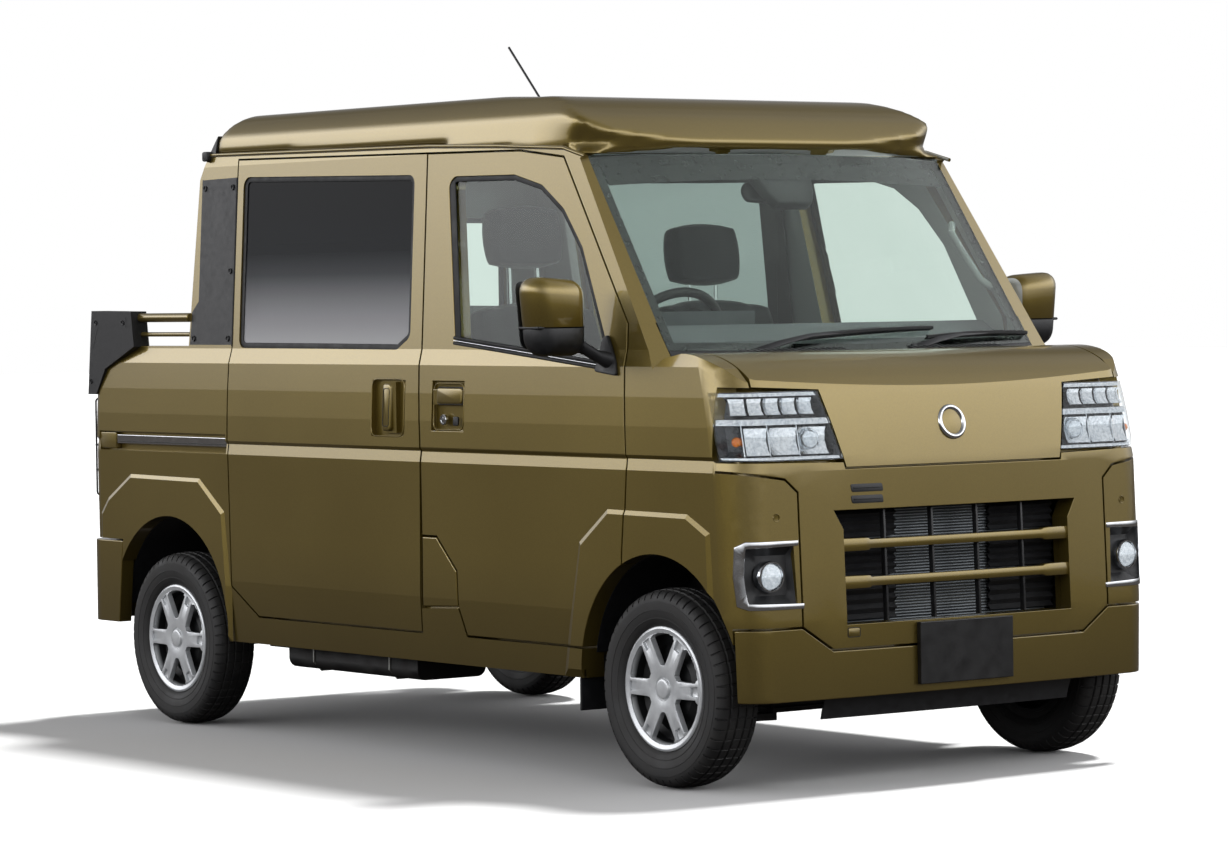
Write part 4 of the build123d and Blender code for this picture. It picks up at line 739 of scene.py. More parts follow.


# ==== Window glass
# Toughened panes in the front doors and the rear wall and a laminated windscreen, faintly green; the
# sliding doors have smoked privacy panes with a painted reflection of the pale ground in their lower part.
clear_glass, tree, shader = new_material(
    "green_tinted_float_glass", "#E4EFEA", 0.0, 0.0, Transmission_Weight=1.0, IOR=1.36
)
place = add_node(tree, "ShaderNodeTexCoord").outputs["Object"]
haze = add_node(tree, "ShaderNodeTexNoise", {"Vector": place, "Scale": 3.0, "Detail": 3.0})
film = add_node(tree, "ShaderNodeMix", {0: haze.outputs["Fac"], 6: linear("#E8F2ED"), 7: linear("#DFEBE5")},
                data_type="RGBA")
tree.links.new(film.outputs[2], shader.inputs["Base Color"])
dress(["windscreen", "front_door_glass_right", "front_door_glass_left", "rear_glass"], clear_glass, 0.001, 1)
smoked_glass, tree, shader = new_material(
    "smoked_privacy_glass", "#2A2D2F", 0.0, 0.0, Transmission_Weight=0.22, IOR=1.13
)
place = add_node(tree, "ShaderNodeTexCoord").outputs["Object"]
place = add_node(tree, "ShaderNodeSeparateXYZ", {"Vector": place}).outputs
# pale low on the pane: a painted reflection of the pale ground; deep smoke higher up
rise = add_node(tree, "ShaderNodeMapRange", {"Value": place["Z"], "From Min": 1.17, "From Max": 1.68})
fade = add_node(tree, "ShaderNodeValToRGB", {"Fac": rise.outputs[0]})
SMOKE_AND_PAINTED_GROUND = [(0.0, "#C4C4C6"), (0.18, "#9C9C9F"), (0.42, "#47494C"), (0.55, "#1E2124"), (1.0, "#101214")]
fill_ramp(fade, [(position, linear(code)) for position, code in SMOKE_AND_PAINTED_GROUND])
# the left pane has the lighter tint, and the right pane the deep one
left = add_node(
    tree, "ShaderNodeMapRange", {"Value": place["Y"], "From Min": -0.1, "From Max": 0.1}
).outputs[0]
tint = add_node(
    tree, "ShaderNodeMix", {0: left, 6: fade.outputs["Color"], 7: linear("#AEBDB9")}, data_type="RGBA"
)
tree.links.new(tint.outputs[2], shader.inputs["Base Color"])
clarity = add_node(tree, "ShaderNodeMapRange", {"Value": left, "To Min": 0.22, "To Max": 0.80})
tree.links.new(clarity.outputs[0], shader.inputs["Transmission Weight"])
dress(["slide_door_glass"], smoked_glass, 0.001, 1)


# ==== Window seals
# Extruded EPDM rubber channels hold every pane. The windscreen has a black ceramic band fired onto
# its edge, and a shaded pod behind the top of the glass.
def edge_band(node, name, facing, reach, thickness, lift=0.0):
    """A band round the edge of a carried-over pane, made from the faces that look one way."""
    facing = Vector(facing)
    band = bpy.data.objects.new(name, nodes[node].data.copy())
    bpy.context.scene.collection.objects.link(band)
    band.data.transform(nodes[node].matrix_world)
    only(band)
    bpy.ops.object.mode_set(mode="EDIT")
    bpy.ops.mesh.select_all(action="SELECT")
    bpy.ops.mesh.remove_doubles(threshold=same_point)
    bpy.ops.mesh.select_mode(type="FACE")
    bpy.ops.mesh.select_all(action="DESELECT")
    bpy.ops.object.mode_set(mode="OBJECT")
    for polygon in band.data.polygons:
        polygon.select = polygon.normal.dot(facing) < 0.6
    bpy.ops.object.mode_set(mode="EDIT")
    bpy.ops.mesh.delete(type="FACE")
    bpy.ops.mesh.select_all(action="SELECT")
    bpy.ops.mesh.dissolve_limited(angle_limit=radians(1.0))
    bpy.ops.mesh.inset(thickness=reach, use_boundary=True, use_even_offset=True)
    bpy.ops.mesh.delete(type="FACE")
    bpy.ops.mesh.select_all(action="SELECT")
    bpy.ops.transform.translate(value=facing * lift)
    bpy.ops.mesh.extrude_region_move(TRANSFORM_OT_translate={"value": facing * thickness})
    bpy.ops.mesh.select_all(action="SELECT")
    bpy.ops.mesh.normals_make_consistent(inside=False)
    bpy.ops.mesh.select_mode(type="VERT")
    bpy.ops.object.mode_set(mode="OBJECT")
    return band


# Extruded EPDM: soft black with a faint bloom, matt.
seal_rubber = mottled("extruded_epdm_seal", ("#101112", "#191A1B"), (0.5, 0.68), 0.03, 0.0001, 0.001)
front_seal = edge_band("front_door_glass_right", "front_window_seal_right", (0, -1, 0), 0.014, 0.005)
round_edges(front_seal, 0.0012, 2)
finish_both(front_seal, seal_rubber, "door_right")
slide_seal = edge_band("slide_door_glass", "slide_window_seal_right", (0, -1, 0), 0.016, 0.0035)
round_edges(slide_seal, 0.0012, 2)
finish_both(slide_seal, seal_rubber, "chassis")
rear_seal = edge_band("rear_glass", "rear_window_seal", (-1, 0, 0), 0.016, 0.006)
round_edges(rear_seal, 0.0015, 2)
finish(rear_seal, seal_rubber, "chassis")
# Fired ceramic ink: a dense black with a slight orange-peel, seen through the pane.
fired_ink = mottled("fired_black_ceramic_ink", ("#08090A", "#0D0E0F"), (0.25, 0.35), 0.02, 0.00003, 0.002)
screen_rise = atan2(1.703 - 1.142, 1.312 - 0.915)
screen_up = Vector((-cos(screen_rise), 0.0, sin(screen_rise)))
screen_in = Vector((-sin(screen_rise), 0.0, -cos(screen_rise)))


def on_screen(y, up, deep=0.0):
    """A point on the windscreen: across, up along the glass and behind its outer face."""
    bow = 0.050 * (y / 0.7375) ** 2
    return Vector((1.312, y, 1.142)) + up * screen_up + (deep + bow) * screen_in


screen_band_piece = edge_band("windscreen", "windscreen_ceramic_band", -screen_in, 0.030, 0.0006, -0.0078)
finish(screen_band_piece, fired_ink, "chassis")


def sheet(name, rows, thickness=None):
    """A quad sheet through rows of points, given a thickness along a vector."""
    bpy.ops.object.select_all(action="DESELECT")
    bpy.ops.mesh.primitive_grid_add(x_subdivisions=len(rows[0]) - 1, y_subdivisions=len(rows) - 1)
    piece = bpy.context.object
    piece.name = name
    for vertex, point in zip(piece.data.vertices, [point for row in rows for point in row]):
        vertex.co = point
    return piece if thickness is None else thickened(piece, thickness)


def spread(start, end, count):
    """Evenly spaced values from start to end."""
    return [start + (end - start) * k / (count - 1) for k in range(count)]


header = sheet(
    "windscreen_header_band",
    [[on_screen(y, up, 0.0085) for y in spread(-0.60, 0.60, 25)] for up in (0.600, 0.664)],
    screen_in * 0.0006,
)
finish(header, fired_ink, "chassis")
# Grained black ABS of small mouldings: charcoal with a 1 mm leather grain.
black_abs = mottled("grained_black_abs", ("#131416", "#1D1E20"), (0.38, 0.52), 0.02, 0.00025, 0.0012)
pod_rows = [[on_screen(y, up, 0.010) for y in (-half, half)]
            for up, half in ((0.52, 0.060), (0.56, 0.085), (0.625, 0.105))]
pod = sheet("sensor_pod", pod_rows, screen_in * 0.038)
round_edges(pod, 0.008, 3)
finish(pod, black_abs, "chassis")


def rounded(corners, radius, steps=4):
    """A closed outline of 2-D points with its corners turned into short curves."""
    outline = []
    for before, corner, after in zip(corners[-1:] + corners[:-1], corners, corners[1:] + corners[:1]):
        corner = Vector(corner)
        start = corner + (Vector(before) - corner).normalized() * radius
        end = corner + (Vector(after) - corner).normalized() * radius
        for k in range(steps + 1):
            share = k / steps
            outline.append((1 - share) ** 2 * start + 2 * share * (1 - share) * corner + share**2 * end)
    return outline


def box_corners(first_low, first_high, second_low, second_high):
    """The four corners of an upright rectangle, in order."""
    return [
        (first_low, second_low), (first_high, second_low), (first_high, second_high),
        (first_low, second_high),
    ]


def set_at(axis, value, points):
    """An outline of 2-D points set in the plane where x, y or z has one value."""
    spot = "xyz".index(axis)
    return [Vector((*point[:spot], value, *point[spot:])) for point in points]


def rod(name, points, radius, sides=4, cyclic=False):
    """A round bar through points in space."""
    bpy.ops.object.select_all(action="DESELECT")
    bpy.ops.curve.primitive_nurbs_path_add()
    piece = bpy.context.object
    piece.name = name
    curve = piece.data
    curve.splines.clear()
    spline = curve.splines.new("POLY")
    spline.points.add(len(points) - 1)
    for point, place in zip(spline.points, points):
        point.co = (*place, 1.0)
    spline.use_cyclic_u = cyclic
    curve.bevel_depth = radius
    curve.bevel_resolution = sides
    curve.use_fill_caps = not cyclic
    curve.twist_mode = "MINIMUM"
    bpy.ops.object.convert(target="MESH")
    merged(0.00001)
    return piece


# two wiped lips and a thin bright bead lie along the foot of the front door window
def along_belt(rise, end, proud):
    """Points along the foot of the front door window, which falls towards the nose."""
    return [on_side(x, rise - 0.0945 * x, proud) for x in spread(0.345, end, 12)]


lower_lip = rod("belt_lip_lower", along_belt(1.2145, 1.080, 0.001), 0.0045)
upper_lip = rod("belt_lip_upper", along_belt(1.2295, 1.074, 0.0015), 0.0045)
belt = joined([lower_lip, upper_lip], "belt_moulding_right")
finish_both(belt, seal_rubber, "door_right")
bead = rod("belt_bead_right", along_belt(1.222, 1.078, 0.0035), 0.0016)
# Hard chrome on moulded ABS: bright, with faint wipe marks in its gloss.
chrome = mottled("chrome_plated_abs", ("#D2D5D8", "#DEE0E2"), (0.05, 0.12), 0.03, 0.00002, 0.003, 1.0)
finish_both(bead, chrome, "door_right")
# the thick black guide post at the rear edge of the front door window
post_outline = ((0.340, 1.190), (0.262, 1.640), (0.292, 1.640), (0.372, 1.187))
post = prism("window_post_right", [on_side(x, z, -0.006) for x, z in post_outline], (0.0, -0.004, 0.0))
round_edges(post, 0.0015, 2)
finish_both(post, seal_rubber, "door_right")


# ==== Quarter claddings and drip rails
# Textured black ABS covers clip over the rear quarters and are screwed through round recesses. A
# rubber strip closes the joint to the door glass; each drip rail ends in a small moulded knob.
dress(["quarter_claddings", "guard_ends", "roof_rear_band", "mud_flaps"], black_abs, 0.003, 3)


def screw(name, place, axis, radius=0.009):
    """A recessed round screw head with a cross slot, standing along an axis."""
    profile = [(0.0000, 0.0), (0.0008, 0.55), (0.0030, 0.62), (0.0036, 0.80), (0.0036, 0.95), (0.0024, 1.0),
               (-0.0030, 1.0)]
    axis = Vector(axis).normalized()
    aside = axis.orthogonal().normalized()
    points = [Vector(place) + axis * high + aside * (share * radius) for high, share in profile]
    points.append(Vector(place) - axis * 0.003)
    piece = spun(name, points, place, axis, 20)
    across = axis.cross(aside)
    bars = []
    for one, other in ((aside, across), (across, aside)):
        reach, half = radius * 0.45, radius * 0.09
        corners = [Vector(place) + one * (a * reach) + other * (b * half) + axis * 0.0035
                   for a, b in box_corners(-1, 1, -1, 1)]
        bars.append(prism("slot", corners, axis * -0.0032))
    return cut_away(piece, joined(bars, "slots"))


# Zinc-plated screws: dull silver-yellow in faint patches.
zinc = mottled("zinc_plated_steel", ("#8B8C88", "#A9AAA5"), (0.3, 0.5), 0.006, 0.00005, 0.001, 0.9)
CLADDING_SCREWS = ((-0.880, 1.655), (-1.038, 1.655), (-1.045, 1.195), (-0.850, 1.195), (-0.862, 1.40))
heads = [screw("cladding_screw", on_side(x, z, 0.0005), (0, -1, 0.1)) for x, z in CLADDING_SCREWS]
heads = joined(heads, "cladding_screws_right")
finish_both(heads, black_abs, "chassis")
strip = rod(
    "quarter_strip_right", [on_side(x, z, -0.0005) for x, z in ((-0.8235, 1.172), (-0.8590, 1.684))], 0.0035
)
finish_both(strip, seal_rubber, "chassis")
# x, z along the drip rail from behind the cab to the windscreen
RAIL = [(-1.030, 1.757), (-0.500, 1.7505), (0.149, 1.743), (0.500, 1.731), (0.805, 1.7155), (0.905, 1.690)]
drip = rod("drip_rail_right", [on_side(x, z, 0.0035) for x, z in RAIL], 0.0055)
finish_both(drip, olive_paint, "chassis")
knob_outline = rounded(box_corners(-1.050, -1.018, 1.738, 1.768), 0.008)
knob = prism("drip_rail_knob_right", set_at("y", -0.640, knob_outline), (0.0, -0.026, 0.0))
round_edges(knob, 0.004, 3)
finish_both(knob, black_abs, "chassis")
band_heads = joined(
    [screw("band_screw", (-1.024, y, 1.783), (-1, 0, 0.6), 0.007) for y in (-0.60, -0.2, 0.2, 0.60)],
    "roof_band_screws",
)
finish(band_heads, zinc, "chassis")


# ==== Head lamps
# Each lamp is a clear polycarbonate lens over a dark tray. A row of small cube reflectors sits above
# a metallised bar, with three faceted bowls and an amber bulb below it.

# z, half width, setback of the nose, corner radius
NOSE_LEVELS = [
    (0.235, 0.716, 0.014, 0.090), (0.461, 0.730, 0.015, 0.105), (0.845, 0.7335, 0.033, 0.110),
    (0.876, 0.729, 0.037, 0.110), (0.886, 0.735, 0.039, 0.110), (0.962, 0.733, 0.054, 0.110),
    (1.040, 0.729, 0.074, 0.110), (1.120, 0.723, 0.100, 0.110),
]


def on_nose(reach, z, proud=0.0):
    """A point on the right half of the nose; reach is measured out from the middle, round the corner."""
    half, setback, corner = (between(NOSE_LEVELS, z, column) for column in (1, 2, 3))
    flat = half - corner
    front = 1.6975 - setback
    if abs(reach) <= flat:
        return Vector((front - 0.020 * (reach / flat) ** 2 + proud, -reach, z))
    turn = (abs(reach) - flat) / corner
    out = (corner + proud) * sin(turn)
    return Vector((front - 0.020 - corner + (corner + proud) * cos(turn), -(flat + out), z))


def lamp_grid(low, high, start, end, columns, rows, proud):
    """Rows of points on the lamp's face between two heights and two distances out."""
    grid = []
    for z in spread(low, high, rows):
        # the lamp's inner end leans outwards as it rises
        first = 0.385 + (z - 0.868) * 0.28 + start
        grid.append([on_nose(u, z, proud) for u in spread(first, end, columns)])
    return grid


def sunk(rim, base):
    """Rows of points that keep their rim and take their middle from the rows of a base."""
    middle = [[r[0], *b[1:-1], r[-1]] for r, b in zip(rim[1:-1], base[1:-1])]
    return [rim[0], *middle, rim[-1]]


lamp_low, lamp_top, lamp_end = 0.8745, 1.0535, 0.772
lens = sheet("head_lamp_lens_right", lamp_grid(lamp_low, lamp_top, 0.003, lamp_end, 40, 7, -0.001))
modify(lens, "SOLIDIFY", thickness=0.0025, offset=0.0)
# Injection-moulded polycarbonate with a hard coat: water clear, a hint of blue, glossy.
lens_clear = mottled(
    "clear_polycarbonate_lens", ("#F3F7FA", "#F9FBFC"), (0.0, 0.02), 0.05, Transmission_Weight=1.0, IOR=1.22
)
finish_both(lens, lens_clear, "chassis")

rows = lamp_grid(lamp_low, lamp_top, 0.004, lamp_end - 0.001, 40, 9, -0.0045)
floor_rows = lamp_grid(lamp_low + 0.003, lamp_top - 0.003, 0.007, lamp_end - 0.005, 40, 9, -0.034)
tray = sheet("head_lamp_tray_right", sunk(rows, floor_rows))
# Dark grey ABS of the lamp trays: semi-gloss with a fine grain.
lamp_tray_grey = mottled("dark_lamp_tray_abs", ("#2A2C2F", "#3A3D40"), (0.22, 0.35), 0.02, 0.0001, 0.001)
finish_both(tray, lamp_tray_grey, "chassis", ["head_lamps"])


def lamp_bowl(name, start, end, low, high, deep, steps=6):
    """A faceted reflector bowl between two distances out and two heights."""
    grid = []
    for j in range(steps + 1):
        b = 2 * j / steps - 1
        z = low + (high - low) * j / steps
        row = []
        for i in range(steps + 1):
            a = 2 * i / steps - 1
            hollow = deep * (1 - 0.5 * (a * a + b * b)) + 0.0016 * ((i + j) % 2)
            row.append(on_nose(start + (end - start) * i / steps, z, -0.008 - hollow))
        grid.append(row)
    return sheet(name, grid)


bowls = [lamp_bowl("cube", u, u + 0.046, 0.9935, 1.0365, 0.014, 4) for u in spread(0.458, 0.674, 5)]
for start, end in ((0.428, 0.515), (0.522, 0.610), (0.617, 0.690)):
    bowls.append(lamp_bowl("bowl", start, end, 0.889, 0.960, 0.020))
bowls = joined(bowls, "head_lamp_bowls_right")
modify(bowls, "SOLIDIFY", thickness=0.0015, offset=0.0)
# Vacuum-metallised reflector: bright aluminium with faceted gloss.
reflector_silver = mottled(
    "metallised_reflector", ("#B4B8BC", "#DADDE0"), (0.05, 0.15), 0.008, 0.0001, 0.004, 1.0
)
finish_both(bowls, reflector_silver, "chassis", (), 12.0)
bars = [
    sheet("bar", lamp_grid(low, high, start, end, 30, 2, proud), Vector((-0.010, 0.002, 0.0)))
    for low, high, start, end, proud in (
        (1.0415, 1.0515, 0.006, 0.766, -0.006), (0.9675, 0.9835, 0.004, 0.768, -0.005),
        (0.8765, 0.8845, 0.006, 0.766, -0.006),
    )
]
for middle in (0.519, 0.6135, 0.695):
    rows = [[on_nose(u, z, -0.012) for u in (middle - 0.002, middle + 0.002)] for z in (0.886, 0.968)]
    bars.append(sheet("rib", rows, Vector((-0.020, 0.004, 0.0))))
bars = round_edges(joined(bars, "head_lamp_bars_right"), 0.0012, 2)
finish_both(bars, reflector_silver, "chassis")


def turned(name, place, axis, profile, steps=32):
    """A turned piece: (distance along its axis, radius) pairs, closed at both ends."""
    place, axis = Vector(place), Vector(axis).normalized()
    aside = axis.orthogonal().normalized()
    return spun(name, [place + axis * high + aside * radius for high, radius in profile], place, axis, steps)


bulb = turned(
    "indicator_bulb_right", on_nose(0.716, 0.925, -0.036),
    on_nose(0.716, 0.925, 1.0) - on_nose(0.716, 0.925),
    [
        (0.0, 0.0), (0.0, 0.008), (0.006, 0.012), (0.018, 0.013), (0.026, 0.0095), (0.030, 0.004),
        (0.031, 0.0),
    ],
    24,
)
# Amber glass bulb: orange, smooth and a little translucent.
amber = mottled(
    "amber_bulb_glass", ("#E8720C", "#F08A1C"), (0.06, 0.12), 0.01, Transmission_Weight=0.25, IOR=1.5
)
finish_both(bulb, amber, "chassis")
projector = turned("low_beam_projector_right", on_nose(0.473, 0.925, -0.034), (1, -0.02, 0),
                   [(0.0, 0.0), (0.0, 0.030), (0.012, 0.031), (0.016, 0.029), (0.012, 0.026), (0.020, 0.018),
                    (0.025, 0.008), (0.026, 0.0)], 32)
finish_both(projector, lens_clear, "chassis")


# ==== Fog lamps
# Round lamps in black ABS pockets. A plated frame runs over the top, down the outer side and back
# under each pocket, and is open towards the middle.
fog_rows = [[on_nose(u, z, -0.003) for u in spread(0.556, 0.716, 13)] for z in spread(0.4995, 0.6565, 9)]
fog_floor = [[on_nose(u, z, -0.026) for u in spread(0.562, 0.700, 13)] for z in spread(0.508, 0.648, 9)]
pocket = sheet("fog_lamp_pocket_right", sunk(fog_rows, fog_floor))
modify(pocket, "SOLIDIFY", thickness=0.002, offset=0.0)
finish_both(pocket, black_abs, "chassis", ["fog_lamps"])
frame_path = [(0.541, 0.490, 0.014), (0.704, 0.490, 0.018), (0.734, 0.500, 0.026), (0.741, 0.578, 0.028),
              (0.735, 0.654, 0.026), (0.706, 0.668, 0.018), (0.552, 0.668, 0.014)]
outer, inner = [], []
for k, (u, z, wide) in enumerate(frame_path):
    outer.append(Vector((u, z)))
    inner.append(Vector((u - wide * (k in (2, 3, 4)), z + wide * ((z < 0.55) - (z > 0.6)))))
# eight short steps to a side, so that the frame follows the bowed face of the panel
outer, inner = (
    [on_nose(*a.lerp(b, step / 8), 0.004) for a, b in zip(line, line[1:]) for step in range(8)]
    + [on_nose(*line[-1], 0.004)]
    for line in (outer, inner)
)
fog_frame = sheet("fog_lamp_frame_right", [outer, inner], Vector((-0.012, 0.004, 0.0)))
round_edges(fog_frame, 0.002, 3)
finish_both(fog_frame, chrome, "chassis")
fog_place = on_nose(0.638, 0.576, -0.030)
fog_body = turned("fog_lamp_body_right", fog_place, (1, -0.05, 0),
                  [(0.0, 0.0), (0.0, 0.042), (0.022, 0.042), (0.026, 0.040), (0.026, 0.036), (0.018, 0.034),
                   (0.010, 0.020), (0.008, 0.0)], 40)
finish_both(fog_body, reflector_silver, "chassis")
fog_lens = turned(
    "fog_lamp_lens_right", fog_place, (1, -0.05, 0),
    [(0.020, 0.0), (0.020, 0.034), (0.023, 0.034), (0.028, 0.026), (0.031, 0.012), (0.032, 0.0)], 40,
)
finish_both(fog_lens, lens_clear, "chassis")


# ==== Grille, vents and front trim
# Two painted slats with deeper ends cross the opening in front of thin black ties. Black ABS ducts
# close the outer thirds, so that the radiator only shows in the middle.

# distance from the middle, half height, how far proud of the nose
SLAT_STATIONS = [
    (0.404, 0.0175, -0.004), (0.330, 0.0170, -0.002), (0.314, 0.0165, -0.002), (0.306, 0.0125, -0.006),
    (0.200, 0.0125, -0.006), (0.100, 0.0125, -0.006), (0.0, 0.0125, -0.006),
]
stations = SLAT_STATIONS + [(-reach, tall, proud) for reach, tall, proud in reversed(SLAT_STATIONS[:-1])]
slats = []
for z in (0.648, 0.5495):
    rows = [[on_nose(reach, z + share * tall, proud - 0.002 * abs(share)) for reach, tall, proud in stations]
            for share in (-1.0, 0.0, 1.0)]
    slats.append(sheet("slat", rows, Vector((-0.020, 0.0, 0.0))))
slats = round_edges(joined(slats, "grille_slats"), 0.0025, 3)
finish(slats, olive_paint, "chassis", ["grille"])
ties = []
for y in (-0.245, -0.080, 0.080, 0.245):
    rows = [[on_nose(y + wide, z, -0.020) for wide in (-0.0035, 0.0035)] for z in (0.443, 0.59, 0.737)]
    ties.append(sheet("tie", rows, Vector((-0.016, 0.0, 0.0))))
ties = round_edges(joined(ties, "grille_ties"), 0.001, 2)
finish(ties, black_abs, "chassis", ["grille"])
ducts = []
for side in (-1, 1):
    for z_low, z_high in ((0.446, 0.536), (0.562, 0.632), (0.664, 0.735)):
        rows = [[Vector((1.606 - 0.012 * (j % 2), side * y, z)) for y in spread(0.168, 0.398, 9)]
                for j, z in enumerate(spread(z_low, z_high, 8))]
        ducts.append(sheet("duct", rows, Vector((-0.004, 0.0, 0.0))))
duct = joined(ducts, "grille_ducts")
finish(duct, black_abs, "chassis", (), 20.0)

slots = []
for low in (0.756, 0.786):
    outline = rounded([(0.262, low), (0.368, low), (0.372, low + 0.021), (0.266, low + 0.021)], 0.006)
    slots.append(prism("vent", [on_nose(y, z, 0.0010) for y, z in outline], (-0.010, 0.0, 0.0)))
    ends = [on_nose(y, low + 0.011, 0.0016) for y in (0.272, 0.362)]
    slots.append(rod("vane", ends, 0.0014, 3))
vents = round_edges(joined(slots, "front_vent_right"), 0.0008, 2)
finish(vents, black_abs, "chassis")

trims = []
for side in (-1, 1):
    spot = on_nose(0.617, 0.728)
    spot.y *= -side
    ring = turned("sensor_ring", spot, (1, side * 0.12, 0),
                  [(-0.003, 0.0), (0.0006, 0.0), (0.0010, 0.0066), (-0.0008, 0.0070), (-0.0008, 0.0078),
                   (0.0016, 0.0082), (0.0018, 0.0102), (0.0, 0.0112), (-0.003, 0.0112)], 32)
    trims.append(ring)
sensors = joined(trims, "parking_sensors")
finish(sensors, olive_paint, "chassis", (), 25.0)
tow_outline = rounded(box_corners(0.3595, 0.3975, 0.4085, 0.4300), 0.005)
tow_cover = prism("tow_cover_right", [on_nose(y, z, 0.0015) for y, z in tow_outline], (-0.003, 0.0, 0.0))
round_edges(tow_cover, 0.001, 2)
finish(tow_cover, olive_paint, "chassis")
tow_joint = rounded(box_corners(0.358, 0.399, 0.407, 0.4315), 0.005)
tow_line = rod("tow_cover_joint_right", [on_nose(y, z, 0.0002) for y, z in tow_joint], 0.0009, 2, True)
finish(tow_line, seal_rubber, "chassis")

badge_place = on_nose(0.0, 0.961, -0.001)
badge = turned(
    "hood_ring", badge_place, (0.963, 0.0, 0.27),
    [
        (0.0, 0.033), (0.003, 0.034), (0.0062, 0.0375), (0.0072, 0.0410), (0.0062, 0.0445), (0.003, 0.0475),
        (0.0, 0.0480), (-0.004, 0.0480), (-0.004, 0.033),
    ],
    64,
)
finish(badge, chrome, "hood_lid")
badge_disc = turned("hood_ring_field", badge_place, (0.963, 0.0, 0.27),
                    [(-0.004, 0.0), (-0.004, 0.0335), (0.0012, 0.0335), (0.0022, 0.0290), (0.0030, 0.0)], 48)
finish(badge_disc, olive_paint, "hood_lid")

chin_rows = [
    [on_nose(y, 0.24, -0.045 - 0.030 * k) + Vector((0, 0, z - 0.24)) for y in spread(-0.44, 0.44, 25)]
    for k, z in ((0, 0.243), (0.4, 0.215), (0.6, 0.190))
]
chin = sheet("front_chin", chin_rows, Vector((-0.004, 0.0, 0.0)))
finish(chin, black_abs, "chassis")

# Embossed plates, blank: satin black enamel with a rolled rim, held by two screws.
plate_enamel = mottled("satin_black_plate_enamel", ("#0B0B0C", "#121213"), (0.3, 0.42), 0.05, 0.00004, 0.002)
dress(["number_plates"], plate_enamel, 0.002, 2)
rims, heads = [], []
for x, low, high, axis in ((1.6975, 0.270, 0.435, 1), (-1.6975, 0.350, 0.515, -1)):
    loop = rounded(box_corners(-0.158, 0.158, low + 0.007, high - 0.007), 0.010)
    rims.append(rod("plate_rim", set_at("x", x - axis * 0.0018, loop), 0.0018, 3, True))
    for y in (-0.105, 0.105):
        heads.append(screw("plate_screw", (x - axis * 0.0040, y, high - 0.018), (axis, 0, 0), 0.007))
finish(joined(rims, "plate_rims"), plate_enamel, "chassis")
finish(joined(heads, "plate_screws"), zinc, "chassis")


# ==== Cowl and wipers
# A black ABS cowl with a louvred air intake lies under the glass. Two pressed steel wiper arms in
# black carry hinged blades with rubber edges.
dress(["cowl"], black_abs, 0.003, 3)
louvres = []
for start in (-0.46, 0.12):
    for k in range(17):
        y = start + 0.021 * k
        bow = Vector((-0.05 * (y / 0.7375) ** 2, 0.0, 0.0))
        near, far = Vector((1.356, y, 1.1545)) + bow, Vector((1.326, y, 1.1600)) + bow
        wide = Vector((0, 0.012, 0))
        louvres.append(prism("louvre", [near, near + wide, far + wide, far], (0.0, 0.0, 0.0022)))
finish(round_edges(joined(louvres, "cowl_louvres"), 0.0007, 2), seal_rubber, "chassis")

# Powder-coated wiper steel: satin black in faint patches.
wiper_black = mottled("powder_coated_wiper_steel", ("#0F1011", "#18191B"), (0.32, 0.5), 0.03, 0.00008, 0.001)


def on_wiper(first, last, share, deep):
    """A point part of the way between two (y, distance up the glass) places."""
    return on_screen(*(a + (b - a) * share for a, b in zip(first, last)), deep)


# pivot, knee, grip and blade ends as (y, distance up the glass)
WIPERS = [
    ((-0.418, 0.012), (-0.200, 0.052), (0.060, 0.070), (-0.235, 0.050), (0.262, 0.078)),
    ((0.158, 0.010), (0.350, 0.050), (0.465, 0.062), (0.225, 0.046), (0.640, 0.076)),
]
parts = []
for pivot, knee, grip, first, last in WIPERS:
    foot = on_screen(*pivot, -0.010)
    parts.append(turned("pivot", foot + screen_in * 0.012, -screen_in,
                        [(0.0, 0.0), (0.0, 0.013), (0.014, 0.013), (0.020, 0.010), (0.022, 0.0)], 24))
    path = [
        on_screen(*pivot, -0.014), on_wiper(pivot, knee, 0.5, -0.026), on_screen(*knee, -0.024),
        on_screen(*grip, -0.022),
    ]
    halves = [0.0095, 0.0085, 0.0060, 0.0045]
    arm = [[p + screen_up * side * h for p, h in zip(path, halves)] for side in (-1, 1)]
    parts.append(round_edges(sheet("arm", arm, screen_in * 0.005), 0.0015, 2))
    shares = spread(0.0, 1.0, 15)
    spine = [on_wiper(first, last, share, -0.015 - 0.006 * sin(pi * share)) for share in shares]
    ridge = [screen_up * -0.0055, screen_in * -0.004, screen_up * 0.0055]
    parts.append(sheet("blade", [[p + away for p in spine] for away in ridge], screen_in * 0.004))
    edge = [on_wiper(first, last, share, -0.0135) for share in shares]
    lips = [[p + screen_up * away for p in edge] for away in (-0.0016, 0.0016)]
    parts.append(sheet("squeegee", lips, screen_in * 0.0125))
wiper = joined(parts, "wiper_arms_and_blades")
finish(wiper, wiper_black, "chassis", ["wipers"])
dress(["antenna"], black_abs, 0.0015, 2)


# ==== Door handles and locks
# The front doors have a painted pull flap over a dished recess, a key barrel and a round-cornered
# request button. Each sliding door has an upright painted grip across a deeper recess.
def side_loop(x_low, x_high, z_low, z_high, radius, proud):
    """A closed rounded rectangle of points on the body side."""
    return [on_side(x, z, proud) for x, z in rounded(box_corners(x_low, x_high, z_low, z_high), radius, 6)]


def side_pad(name, x_low, x_high, z_low, z_high, radius, proud, thickness, edge):
    """A rounded rectangular pad standing on the body side with soft edges."""
    pad = prism(name, side_loop(x_low, x_high, z_low, z_high, radius, proud), (0.0, thickness, 0.0))
    return round_edges(pad, edge, 3)


